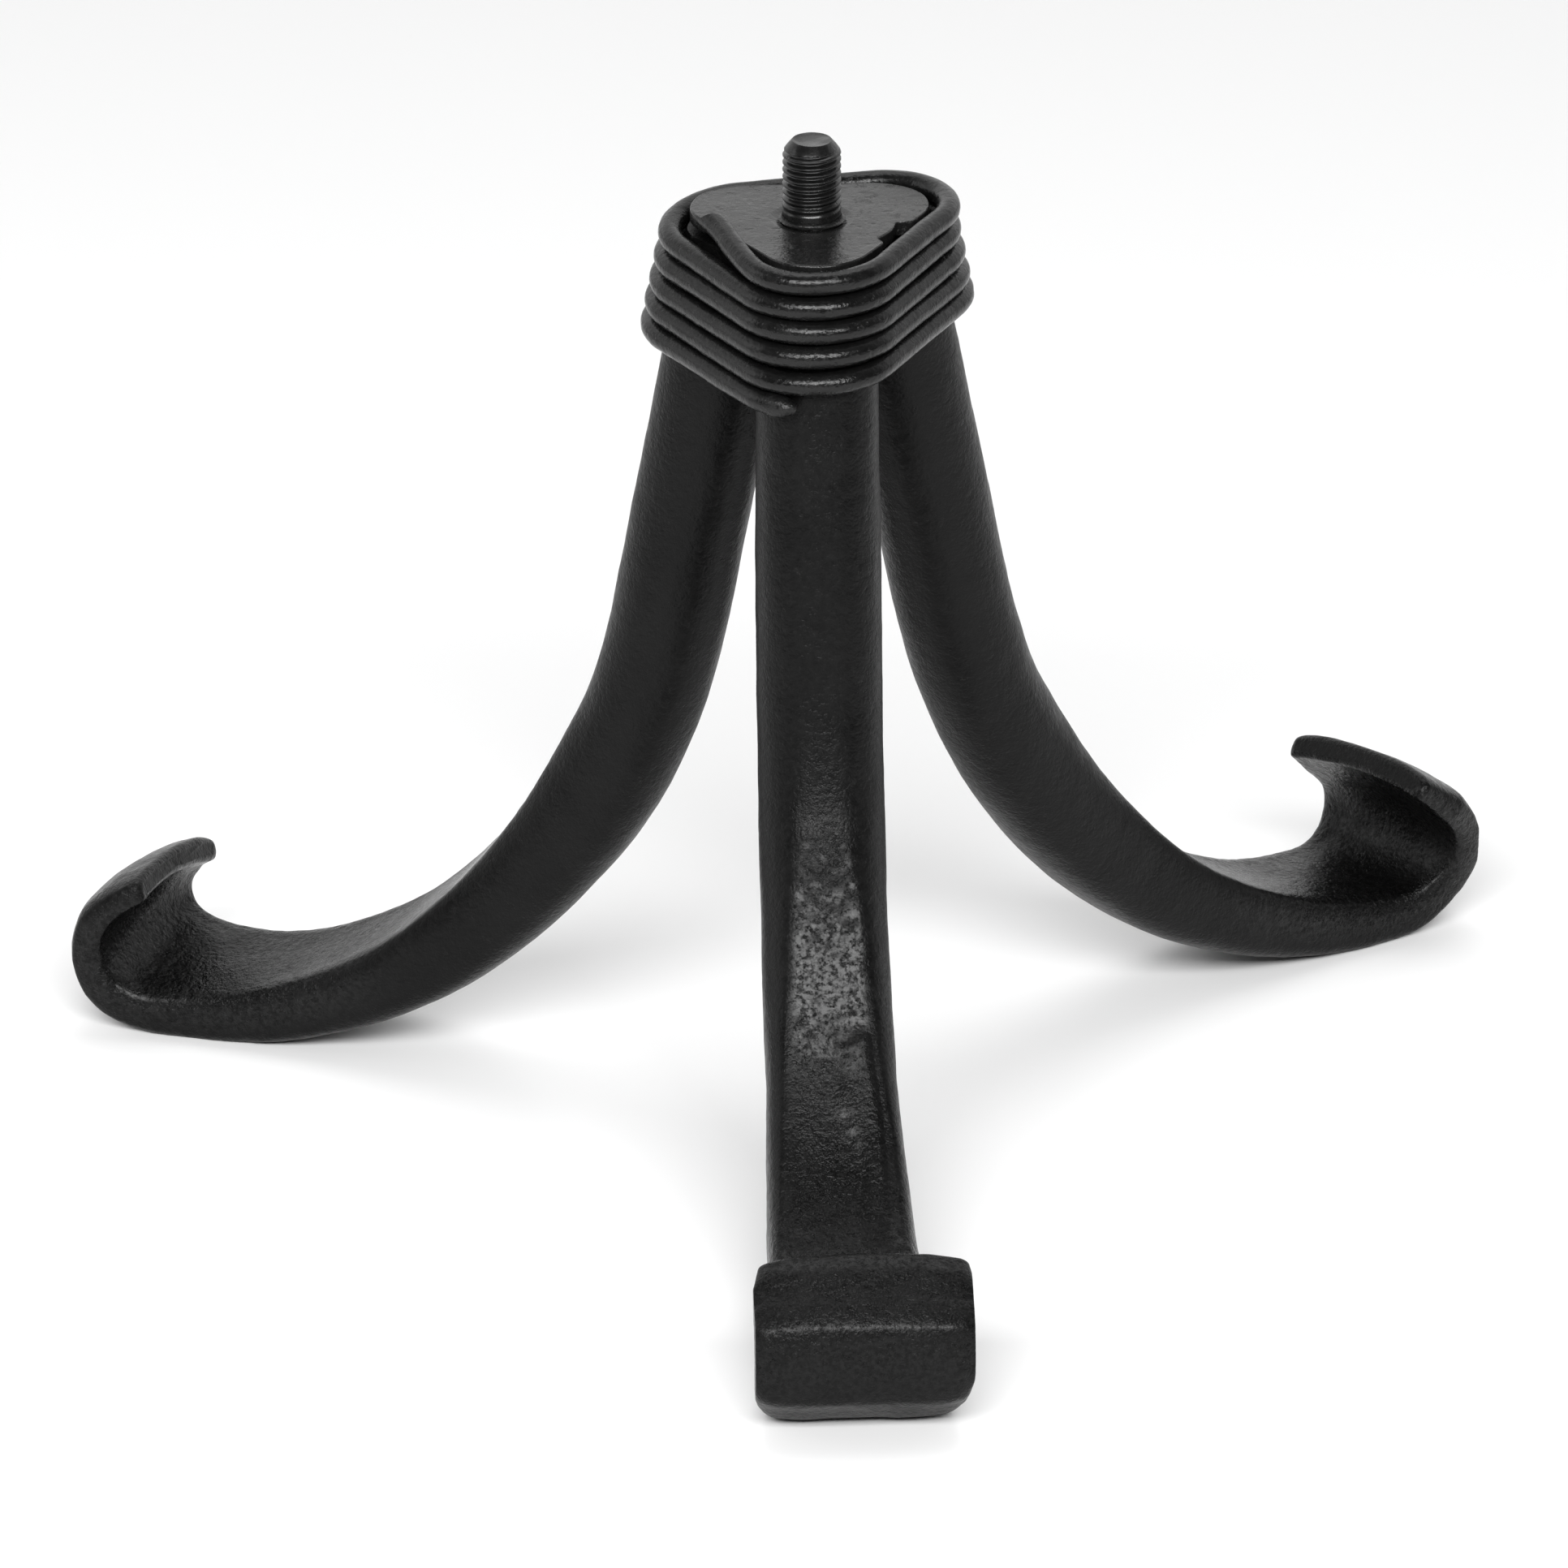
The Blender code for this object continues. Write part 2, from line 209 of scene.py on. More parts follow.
def ripple(points: np.ndarray, size: float, seed: int) -> np.ndarray:
    """Smooth value noise from -1 to 1 with bumps of a given size.

    The eight lattice values around a point are blended with the eased fractions of its place in
    the cell.

    Args:
        points: array of points, last axis of 3.
        size: length of one cell in metres.
        seed: picks the pattern.
    Returns:
        One value for each point.
    """
    place = points / size + 1000.0
    cell = np.floor(place).astype(np.int64)
    part = ease(place - cell, 0.0, 1.0)
    total = np.zeros(points.shape[:-1])
    for corner in range(8):
        step = np.array([corner & 1, (corner >> 1) & 1, (corner >> 2) & 1])
        weight = np.prod(np.where(step == 1, part, 1.0 - part), axis=-1)
        total += weight * lattice(cell + step, seed)
    return total * 2.0 - 1.0


@dataclass(frozen=True)
class Bumps:
    """Unevenness of a surface: how high its bumps are, how wide, and which pattern they follow."""

    height: float
    size: float
    seed: int

    def over(self, points: np.ndarray, shift: int = 0) -> np.ndarray:
        """Height at each point, with the seed shifted where pieces share one kind of bump."""
        return self.height * ripple(points, self.size, self.seed + shift)


def hammer_marks(points: np.ndarray, size: float, seed: int) -> np.ndarray:
    """Depth from 0 to 1 of overlapping round hammer marks.

    Each cell holds one blow at a random place; a point takes the deepest of the 27 blows around
    it, and a blow's depth falls as 1 - (distance / size)^2 and varies from 0.4 to 1 between blows.

    Args:
        points: array of points, last axis of 3.
        size: length of one cell, and the radius of one mark, in metres.
        seed: picks the pattern.
    Returns:
        One depth for each point.
    """
    place = points / size + 500.0
    cell = np.floor(place).astype(np.int64)
    deepest = np.zeros(points.shape[:-1])
    for number in range(27):
        near = cell + np.array([number % 3 - 1, number // 3 % 3 - 1, number // 9 - 1])
        centre = near + np.stack([lattice(near, seed + k) for k in range(3)], axis=-1)
        away = ((place - centre) ** 2).sum(axis=-1)
        deepest = np.maximum(deepest, (1.0 - away) * (0.4 + 0.6 * lattice(near, seed + 5)))
    return deepest


def soft_least(first: np.ndarray, second: Union[float, np.ndarray], crispness: float) -> np.ndarray:
    """The lesser of two positive values with the corner rounded: (a^-p + b^-p)^(-1/p)."""
    first = np.maximum(first, 1e-4)
    return (first ** -crispness + np.asarray(second) ** -crispness) ** (-1.0 / crispness)


def grid_normals(grid: np.ndarray) -> np.ndarray:
    """Outward normals of a tube's grid, by the cross product of its two slopes.

    The sign is chosen so that the normals point away from the tube's middle line.

    Args:
        grid: points that run along the tube on the first axis and round it, closed, on the second.
    Returns:
        A unit normal for each point.
    """
    along = np.gradient(grid, axis=0)
    around = np.roll(grid, -1, 1) - np.roll(grid, 1, 1)
    normal = unit(np.cross(around, along))
    spokes = grid - grid.mean(axis=1, keepdims=True)
    side = np.sign((normal * spokes).sum(axis=-1).mean())
    return normal * (side if side != 0 else 1.0)


def roughened(grid: np.ndarray, height: np.ndarray) -> np.ndarray:
    """A tube's grid with each point moved out along its normal by its height."""
    return grid + grid_normals(grid) * height[..., None]


# ------------------------------------------------------------------ shader maths as expressions
class Sock:
    """An output socket whose operators add Math nodes, so a mask reads as an expression."""

    def __init__(self, graph: "Graph", socket: bpy.types.NodeSocket) -> None:
        """Keep the graph and the socket."""
        self.graph = graph
        self.socket = socket

    def _math(self, operation: str, *values: Any) -> "Sock":
        """Add one Math node on the given values and return its output."""
        inputs = dict(enumerate(values))
        return self.graph.node("ShaderNodeMath", {"operation": operation}, inputs)

    def __add__(self, other: Union["Sock", Number]) -> "Sock":
        """self + other."""
        return self._math("ADD", self, other)

    __radd__ = __add__

    def __sub__(self, other: Union["Sock", Number]) -> "Sock":
        """self - other."""
        return self._math("SUBTRACT", self, other)

    def __rsub__(self, other: Number) -> "Sock":
        """other - self."""
        return self._math("SUBTRACT", other, self)

    def __mul__(self, other: Union["Sock", Number]) -> "Sock":
        """self * other."""
        return self._math("MULTIPLY", self, other)

    __rmul__ = __mul__

    def between(self, low: float, high: float) -> "Sock":
        """Smooth rise from 0 to 1 as the value goes from low to high."""
        return self.graph.node("ShaderNodeMapRange", {"interpolation_type": "SMOOTHSTEP"},
                               {"Value": self, "From Min": low, "From Max": high})


class Graph:
    """The node graph of one material or of the surround, built on its own shader."""

    def __init__(self, owner: Union[bpy.types.Material, bpy.types.World], shader: str) -> None:
        """Turn on the owner's nodes and keep its shader.

        Args:
            owner: the material or the surround.
            shader: name of the shader node that it starts with.
        """
        owner.use_nodes = True
        self.tree = owner.node_tree
        self.shader = self.tree.nodes[shader]

    def node(self, kind: str, settings: Optional[dict] = None, inputs: Optional[dict] = None,
             output: Union[int, str] = 0) -> Sock:
        """Add one node.

        Args:
            kind: the node's type.
            settings: its properties, set first.
            inputs: socket name or number to a value or to another Sock.
            output: the output to return.
        Returns:
            The chosen output as a Sock.
        """
        made = self.tree.nodes.new(kind)
        for key, value in (settings or {}).items():
            setattr(made, key, value)
        for key, value in (inputs or {}).items():
            self._plug(made.inputs[key], value)
        return Sock(self, made.outputs[output])

    def feed(self, **values: Any) -> None:
        """Give the shader's sockets, named with underscores for blanks, their values or links."""
        for name, value in values.items():
            self._plug(self.shader.inputs[name.replace("_", " ")], value)

    def _plug(self, target: bpy.types.NodeSocket, value: Any) -> None:
        """Link a Sock to a socket, or set the socket's own value.

        Args:
            target: the input socket.
            value: the Sock, or a number, vector or colour.
        """
        if isinstance(value, Sock):
            self.tree.links.new(value.socket, target)
        else:
            target.default_value = value

    def noise(self, size: float, detail: float = 2.0, rough: float = 0.5) -> Sock:
        """Noise on the object's own coordinates whose bumps are about one size across."""
        place = self.node("ShaderNodeTexCoord", output="Object")
        return self.node("ShaderNodeTexNoise", None, {"Vector": place, "Scale": 1.0 / size,
                                                      "Detail": detail, "Roughness": rough})

    def blend(self, factor: Union[Sock, float], first: Union[tuple, Sock],
              second: Union[tuple, Sock]) -> Sock:
        """Mix two colours by a factor."""
        return self.node("ShaderNodeMix", {"data_type": "RGBA"}, {0: factor, 6: first, 7: second},
                         output=2)

    def bump(self, height: Sock, distance: float, strength: float = 1.0,
             under: Optional[Sock] = None) -> Sock:
        """A Bump node on a height, above another one where given.

        Args:
            height: the height, from 0 to 1.
            distance: how high 1 stands, in metres.
            strength: share of the bumps that shows.
            under: the normal of the Bump node below this one.
        Returns:
            The bumped normal.
        """
        inputs: dict = {"Height": height, "Distance": distance, "Strength": strength}
        if under is not None:
            inputs["Normal"] = under
        return self.node("ShaderNodeBump", None, inputs)

    def attribute(self, name: str) -> Sock:
        """A value stored on the mesh's own points."""
        settings = {"attribute_name": name, "attribute_type": "GEOMETRY"}
        return self.node("ShaderNodeAttribute", settings, output="Fac")


def grey(level: float, warmth: float = 0.0) -> tuple[float, float, float, float]:
    """A colour of one lightness, a little warmer where warmth is positive."""
    return (level * (1 + warmth), level, level * (1 - warmth), 1.0)


@dataclass(frozen=True)
class GrainSizes:
    """How wide the bumps of the paint's noises are."""

    broad: float = 14 * MM
    peel: float = 3.4 * MM
    speck: float = 2.3 * MM
    fine: float = 1.1 * MM
    flake: float = 1.05 * MM
    shine: float = 0.9 * MM
    sand: float = 0.42 * MM


GRAINS = GrainSizes()
PEEL_DEPTH = 0.12 * MM
RELIEF_DEPTH = 0.16 * MM
COAT_ROUGHNESS = 0.22
ROUGHNESS_LIMITS = (0.16, 0.8)
FORGED_MASK = "forged"
SCALE_MASK = "scale"


@dataclass(frozen=True)
class BlackPaint:
    """Black paint over iron: colour, gloss and the grain that shows through it.

    Attributes:
        name: the material's name.
        slot: the record's material slot.
        dark: lightness of the colour where it is darkest.
        light: lightness where it is lightest, dust apart.
        gloss: roughness where the paint shines most and least.
        peel: strength of the orange peel.
        grain: height of the iron's grain under the paint.
        pits: depth of its pits.
        coat: weight of the clear coat.
        specular: the shader's specular level.
        forged: whether the skin has masks for its forged flats and burnt scale.
    """

    name: str
    slot: str
    dark: float
    light: float
    gloss: Span
    peel: float
    grain: float
    pits: float
    coat: float
    specular: float
    forged: bool = False

    def make(self) -> bpy.types.Material:
        """Build the material: mottled colour, uneven gloss, and grain over orange peel.

        Returns:
            The material.
        """
        material = bpy.data.materials.new(self.name)
        graph = Graph(material, "Principled BSDF")
        broad = graph.noise(GRAINS.broad, 3.0, 0.6)
        fine = graph.noise(GRAINS.fine, 3.0, 0.62)
        speck = graph.noise(GRAINS.speck, 4.0, 0.7)

        shine, dull = self.gloss
        uneven = broad.between(0.3, 0.7) * 0.45 + fine.between(0.3, 0.7) * 0.55
        rough = uneven * (dull - shine) + shine
        pebble = graph.noise(GRAINS.sand, 2.0, 0.55) * self.grain + fine * (self.grain * 2.2)
        relief = pebble + speck.between(0.60, 0.72) * (-self.pits)
        coat: Union[Sock, float] = self.coat
        if self.forged:
            forged, burnt = graph.attribute(FORGED_MASK), graph.attribute(SCALE_MASK)
            rough = rough - forged * 0.07 - burnt * 0.10
            flakes = graph.noise(GRAINS.flake, 3.0, 0.62).between(0.30, 0.68)
            relief = relief + (burnt + forged * 0.15) * flakes
            glints = graph.noise(GRAINS.shine, 3.0, 0.7).between(0.38, 0.62)
            coat = (burnt * 0.30 + forged * 0.10) * glints
        low, high = ROUGHNESS_LIMITS
        rough = graph.node("ShaderNodeClamp", None, {"Value": rough, "Min": low, "Max": high})
        peel = graph.bump(graph.noise(GRAINS.peel), PEEL_DEPTH, self.peel)

        graph.feed(Base_Color=self.colour(graph, broad, fine, speck), Roughness=rough,
                   Normal=graph.bump(relief, RELIEF_DEPTH, under=peel), Coat_Weight=coat,
                   Coat_Roughness=COAT_ROUGHNESS, Specular_IOR_Level=self.specular)
        material.diffuse_color = grey(self.light)
        return material

    def colour(self, graph: Graph, broad: Sock, fine: Sock, speck: Sock) -> Sock:
        """The paint's colour, mottled by broad and fine noise and lightened by specks of dust.

        Args:
            graph: the material's graph.
            broad: noise of wide patches.
            fine: noise of small patches.
            speck: noise whose peaks are dust.
        Returns:
            The colour.
        """
        mottle = broad.between(0.32, 0.70) * 0.6 + fine.between(0.35, 0.68) * 0.4
        paint = graph.blend(mottle, grey(self.dark), grey(self.light, 0.01))
        dust = speck.between(0.60, 0.74) * 0.35
        return graph.blend(dust, paint, grey(self.light * 1.9, 0.02))


class Finish(Enum):
    """The finishes of the stand, one for each material slot of the record."""

    FORGED = BlackPaint("satin_black_on_forged_iron", "forged_paint", dark=0.0018, light=0.0050,
                        gloss=(0.28, 0.46), peel=0.8, grain=0.55, pits=0.4, coat=0.0,
                        specular=0.15, forged=True)
    PLATE = BlackPaint("gloss_black_on_plate", "plate_paint", dark=0.0060, light=0.0120,
                       gloss=(0.17, 0.36), peel=0.9, grain=0.26, pits=0.9, coat=0.10, specular=0.32)
    STUD = BlackPaint("black_on_thread", "stud_paint", dark=0.0035, light=0.0075,
                      gloss=(0.16, 0.30), peel=0.4, grain=0.10, pits=0.3, coat=0.0, specular=0.44)
    WIRE = BlackPaint("satin_black_on_wire", "wire_paint", dark=0.0035, light=0.0075,
                      gloss=(0.14, 0.32), peel=0.8, grain=0.34, pits=0.5, coat=0.0, specular=0.30)
    WELD = BlackPaint("black_on_weld", "weld_paint", dark=0.0040, light=0.0085,
                      gloss=(0.24, 0.44), peel=0.9, grain=0.60, pits=0.35, coat=0.0, specular=0.32)

    def material(self) -> bpy.types.Material:
        """The finish's material, made once."""
        return bpy.data.materials.get(self.value.name) or self.value.make()


# ------------------------------------------------------------------ meshes from grids
@dataclass
class Skin:
    """A closed piece made of a grid of points, capped at its ends or wrapped on itself.

    Attributes:
        name: the piece's name.
        grid: points, by ring, by place round the ring, and by x, y and z.
        finish: its finish.
        nodes: the CAD nodes that it stands for.
        wrap: whether the last ring joins the first, as on a turned ring.
        masks: values on the grid's points, by attribute name.
        sharp: angle in degrees past which an edge is shaded sharp.
    """

    name: str
    grid: np.ndarray
    finish: Finish
    nodes: tuple[str, ...]
    wrap: bool = False
    masks: dict[str, np.ndarray] = field(default_factory=dict)
    sharp: float = 50.0

    def faces(self) -> tuple[np.ndarray, list]:
        """Join the grid's points: four-sided faces between rings, and a fan on each end ring.

        Returns:
            Corner numbers of the quads, and of the triangles that meet at the two poles, whose
            points follow the grid's.
        """
        count, sides = self.grid.shape[:2]
        index = np.arange(count * sides).reshape(count, sides)
        if self.wrap:
            index = np.vstack([index, index[:1]])
        here, beyond = index[:-1], index[1:]
        quads = np.stack([here, np.roll(here, -1, 1), np.roll(beyond, -1, 1), beyond], axis=-1)
        if self.wrap:
            return quads.reshape(-1, 4), []
        first, last = index[0], index[-1]
        low, high = count * sides, count * sides + 1
        start = np.stack([np.roll(first, -1), first, np.full(sides, low)], axis=-1)
        end = np.stack([last, np.roll(last, -1), np.full(sides, high)], axis=-1)
        return quads.reshape(-1, 4), np.vstack([start, end]).tolist()

    def build(self) -> bpy.types.Object:
        """Put the grid into a mesh, point it outwards, dress it and let it ride on the stand.

        Returns:
            The piece.
        """
        points = self.grid.reshape(-1, 3)
        quads, caps = self.faces()
        if not self.wrap:
            points = np.vstack([points, self.grid[0].mean(axis=0), self.grid[-1].mean(axis=0)])
        if signed_volume(points, quads, caps) < 0:
            quads = quads[:, ::-1]
            caps = [face[::-1] for face in caps]
        mesh = bpy.data.meshes.new(self.name)
        mesh.from_pydata(points.tolist(), [], quads.tolist() + caps)
        for label, values in self.masks.items():
            layer = mesh.attributes.new(label, "FLOAT", "POINT")
            flat = np.zeros(len(points), dtype=np.float32)
            flat[:values.size] = values.ravel()
            layer.data.foreach_set("value", flat)
        mesh.shade_smooth()
        mesh.set_sharp_from_angle(angle=math.radians(self.sharp))
        mesh.materials.append(self.finish.material())
        piece = bpy.data.objects.new(self.name, mesh)
        bpy.context.collection.objects.link(piece)
        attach(piece, "root")
        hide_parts(*self.nodes)
        log.info("%s: %d points", self.name, len(points))
        return piece


def signed_volume(points: np.ndarray, quads: np.ndarray, caps: list) -> float:
    """Volume inside the faces, positive where they point outwards: sum of a.(b x c) / 6.

    Args:
        points: the corners' places.
        quads: corner numbers of the four-sided faces.
        caps: corner numbers of the triangles.
    Returns:
        The signed volume.
    """
    corners = [quads[:, [0, 1, 2]], quads[:, [0, 2, 3]]]
    if caps:
        corners.append(np.array(caps))
    a, b, c = (points[np.vstack(corners)[:, k]] for k in range(3))
    return float((a * np.cross(b, c)).sum() / 6.0)


def keep_inside(grid: np.ndarray, *nodes: str) -> np.ndarray:
    """Points held inside the common box of the CAD nodes that they stand for."""
    corners = np.array([[tuple(corner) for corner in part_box(node)] for node in nodes])
    return np.clip(grid, corners[:, 0].min(axis=0), corners[:, 1].max(axis=0))


# ------------------------------------------------------------------ legs
@dataclass(frozen=True)
class FoldedLap:
    """The lap folded over one side of the front leg's flat; its near end is a rounded tongue.

    Places along the leg are shares of its length, and each pair is where a change begins and ends.

    Attributes:
        height: how far the lap stands up.
        edge: the side of the flat, from its middle, where the lap's wavering edge runs.
        waver: how far the edge wavers.
        waver_length: length of one radian of its wavering.
        tongue: how far the tongue reaches in beyond the edge.
        wall: width of the rise at the edge.
        begins: where the lap's near end rises.
        tongue_begins: where the tongue widens.
        tongue_ends: where the tongue narrows again.
        ends: where the lap fades into the flat.
    """

    height: float = 0.55 * MM
    edge: float = 4.4 * MM
    waver: float = 0.5 * MM
    waver_length: float = 3.1 * MM
    tongue: float = 3.4 * MM
    wall: float = 0.5 * MM
    begins: Span = (0.570, 0.576)
    tongue_begins: Span = (0.572, 0.582)
    tongue_ends: Span = (0.60, 0.70)
    ends: Span = (0.66, 0.78)

    def surface(self, marks: np.ndarray, across: np.ndarray) -> np.ndarray:
        """Height of the lap over the flat.

        Args:
            marks: distances down the leg.
            across: offsets across the leg at each distance.
        Returns:
            The height at each point.
        """
        along = (marks / marks[-1])[:, None]
        edge = self.edge + self.waver * np.sin(marks / self.waver_length)[:, None]
        widened = ease(along, *self.tongue_begins) * (1.0 - ease(along, *self.tongue_ends))
        shelf = ease(across - (edge - self.tongue * widened), 0.0, self.wall)
        return self.height * shelf * ease(along, *self.begins) * (1 - ease(along, *self.ends))


@dataclass
class ForgedLeg:
    """One leg: round bar, forged flat on its upper side, its end rolled into a scroll.

    Attributes:
        plan: how this leg differs from the others.
        axis: x and y of the stand's axis.
        straight: length of the straight stretch at the top.
        sweep, heel, scroll: length and radius of the three arcs that follow.
        lip_radius: radius of the lip after them.
        blend: length over which one curvature changes into the next.
        end_round: rounding of the lip's end.
        sag: depth of a facet between its ridges.
        ridge_round: how much the ridges are rounded.
        facets_begin, facets_end: where the facets fade in and out, from the scroll's two ends.
        sole: how much the underside of the foot is worn off.
        rings, lip_rings, sides: numbers of rings, of further rings on the lip's round, of sides.
        stations: shares of the leg's length at which the next three rows are given.
        widths, depths, thicknesses: half width, drop of the lower side and half thickness, each
            as a share of the bar's radius.
        flat_places, flat_shares: shares of the length, and the flat's share of the width there.
        squareness: how square the section becomes where it is flat.
        crispness: how crisp the flat's edges are.
        wobble, wobble_length: how the flat's width wavers, and the length of one radian of it.
        dish, flare: how far the flat is hollowed, and its edges dropped.
        hammer_depth, hammer_size: depth and radius of the hammer marks.
        waves, grain: bumps of the whole bar.
        coarse: bumps of the scale at the flat's upper end.
        worn, fired: bumps of the rims and of the shoulders beside the flat.
        sheared: bumps of the lip's end face.
    """

    plan: LegPlan
    axis: np.ndarray
    straight: float = 72.6 * MM
    sweep: Span = (79.3 * MM, 113.2 * MM)
    heel: Span = (55.8 * MM, 68.2 * MM)
    scroll: Span = (24.5 * MM, 9.8 * MM)
    lip_radius: float = 50.0 * MM
    blend: float = 8.0 * MM
    end_round: float = 1.1 * MM
    sag: float = 1.0 * MM
    ridge_round: float = 0.07
    facets_begin: Span = (3 * MM, 9 * MM)
    facets_end: Span = (-1 * MM, 6 * MM)
    sole: float = 0.7 * MM
    rings: int = 430
    lip_rings: int = 7
    sides: int = 112
    stations: tuple = (0.0, 0.45, 0.60, 0.75, 0.85, 0.885, 0.915, 0.96, 1.0)
    widths: tuple = (1.0, 1.01, 1.04, 1.21, 1.42, 1.56, 1.73, 1.80, 1.63)
    depths: tuple = (1.0, 1.0, 0.84, 0.65, 0.52, 0.475, 0.445, 0.40, 0.29)
    thicknesses: tuple = (1.0, 0.985, 0.82, 0.64, 0.50, 0.45, 0.40, 0.34, 0.24)
    flat_places: tuple = (0.0, 0.385, 0.42, 0.465, 0.55, 0.65, 0.78, 0.88, 1.0)
    flat_shares: tuple = (0.02, 0.03, 0.36, 0.50, 0.56, 0.62, 0.68, 0.76, 0.84)
    squareness: float = 0.35
    crispness: float = 22.0
    wobble: float = 0.04
    wobble_length: float = 7 * MM
    dish: float = 0.6 * MM
    flare: float = 1.2 * MM
    hammer_depth: float = 0.16 * MM
    hammer_size: float = 6.5 * MM
    waves: tuple[Bumps, Bumps] = (Bumps(0.10 * MM, 9 * MM, 0), Bumps(0.05 * MM, 4 * MM, 1))
    grain: Bumps = Bumps(0.030 * MM, 1.8 * MM, 2)
    coarse: Bumps = Bumps(0.075 * MM, 1.5 * MM, 7)
    worn: Bumps = Bumps(0.06 * MM, 2.6 * MM, 9)
    fired: Bumps = Bumps(0.05 * MM, 1.3 * MM, 13)
    sheared: Bumps = Bumps(0.35 * MM, 1.4 * MM, 20)

    def angles(self) -> np.ndarray:
        """Angles round a ring: 0 at one side, a quarter turn on the upper side."""
        return np.linspace(0, FULL_TURN, self.sides, endpoint=False)

    def lower_side(self) -> np.ndarray:
        """Share from 0 to 1, round a ring, of the side that ends up outside the scroll."""
        return ease(-np.sin(self.angles()), 0.05, 0.45)

    def line(self, marks: np.ndarray) -> tuple[np.ndarray, np.ndarray, np.ndarray]:
        """Reach, height and angle from straight down of the leg's middle line.

        The curvature is a staircase of the arcs' curvatures with sloping steps; its integral is
        the angle, and the integral of that direction is the line.

        Args:
            marks: distances down the leg.
        Returns:
            Reach, height and angle at each distance.
        """
        plan = self.plan
        bends = np.array([0.0, plan.bend / self.sweep[1], plan.bend / self.heel[1],
                          plan.curl / self.scroll[1], 1.0 / self.lip_radius])
        starts = np.cumsum([self.straight, self.sweep[0], self.heel[0], self.scroll[0]])
        fine = np.linspace(0.0, marks[-1], 4000)
        step = fine[1]
        risen = np.clip((fine[:, None] - starts) / self.blend + 0.5, 0.0, 1.0)
        curvature = risen @ np.diff(bends)
        angle = BUNDLE.tilt + math.radians(plan.tilt) + running_sum(curvature, step)
        reach = running_sum(np.sin(angle), step)
        height = -running_sum(np.cos(angle), step)
        return tuple(np.interp(marks, fine, values) for values in (reach, height, angle))

    def section(self, marks: np.ndarray) -> tuple[np.ndarray, ...]:
        """Offsets across and through the bar at each station.

        Each ring is a superellipse.  Its upper half is cut by a level plane, which leaves a flat
        panel between rounded shoulders; the panel's share of the width grows down the leg, and its
        middle is dished a little.

        Args:
            marks: distances down the leg.
        Returns:
            The offsets across, the offsets through, and the mask of the flat panel.
        """
        place = (marks / marks[-1])[:, None]
        width = BUNDLE.bar_radius * np.interp(place, self.stations, self.widths)
        width = width * (1.0 + (self.plan.girth - 1.0) * ease(place, 0.05, 0.25))
        depth = BUNDLE.bar_radius * np.interp(place, self.stations, self.depths)
        thick = BUNDLE.bar_radius * np.interp(place, self.stations, self.thicknesses)
        sunk = depth - thick
        flat = np.clip((place - 0.45) / 0.20, 0.0, 1.0)
        left = np.clip(self.end_round - (marks[-1] - marks), 0.0, self.end_round)[:, None]
        inset = self.end_round - np.sqrt(self.end_round ** 2 - left ** 2)
        width, thick = width - inset, thick - inset

        cosine, sine = np.cos(self.angles())[None, :], np.sin(self.angles())[None, :]
        power = 1.0 - self.squareness * flat
        share = np.sign(cosine) * np.abs(cosine) ** power
        rise = np.abs(sine) ** power
        waver = np.sin(marks / self.wobble_length + self.plan.seed)[:, None] * np.sign(cosine)
        panel = np.interp(place, self.flat_places, self.flat_shares) + self.wobble * waver * flat
        cut = np.sqrt(np.clip(1.0 - panel ** 2, 0.05, 1.0))
        upper = soft_least(rise / cut, 1.0, self.crispness)
        on_panel = ease(panel - np.abs(share), -0.06, 0.06) * (sine > 0) * ease(place, 0.385, 0.43)
        hollow = np.clip(1.0 - (share / panel) ** 2, 0.0, 1.0) * ease(place, 0.62, 0.80)
        through = thick * np.where(sine > 0, upper, -rise)
        through = through - self.dish * hollow * (sine > 0) * on_panel
        flare = self.flare * (ease(place, 0.68, 0.84) - 1.8 * ease(place, 0.905, 0.975))
        return width * share, through - sunk - flare * share ** 2, on_panel

    def facets(self, marks: np.ndarray, angle: np.ndarray) -> np.ndarray:
        """How far the roll's outer side is hammered in between its ridges.

        Along one facet of length L the surface sinks as sag (1 - (2 u)^2), with u from -1/2 at one
        ridge to 1/2 at the next, which is the chord of the roll's round; a small constant under
        the square root rounds the ridge.

        Args:
            marks: distances down the leg.
            angle: the line's angle from straight down there.
        Returns:
            The depth in metres at each distance.
        """
        plan = self.plan
        crest = np.interp(math.radians(plan.ridge), angle, marks)
        along = ((marks - crest) / plan.pitch) % 1.0 - 0.5
        roll = marks - (self.straight + self.sweep[0] + self.heel[0])
        window = ease(roll, *self.facets_begin) * (1.0 - ease(roll - self.scroll[0], *self.facets_end))
        chord = np.sqrt((1.0 - (2.0 * along) ** 2) ** 2 + self.ridge_round)
        return plan.facet * window * self.sag * (chord - math.sqrt(self.ridge_round))

    def marks(self) -> np.ndarray:
        """Where the rings lie: evenly spaced, and closer at the lip's round.

        Returns:
            Distances down the leg.
        """
        total = self.straight + self.sweep[0] + self.heel[0] + self.scroll[0] + self.plan.lip
        even = np.linspace(0.0, total - self.end_round, self.rings)
        round_off = np.sin(np.linspace(0, math.pi / 2, self.lip_rings + 1)[1:])
        return np.concatenate([even, total - self.end_round + self.end_round * round_off])

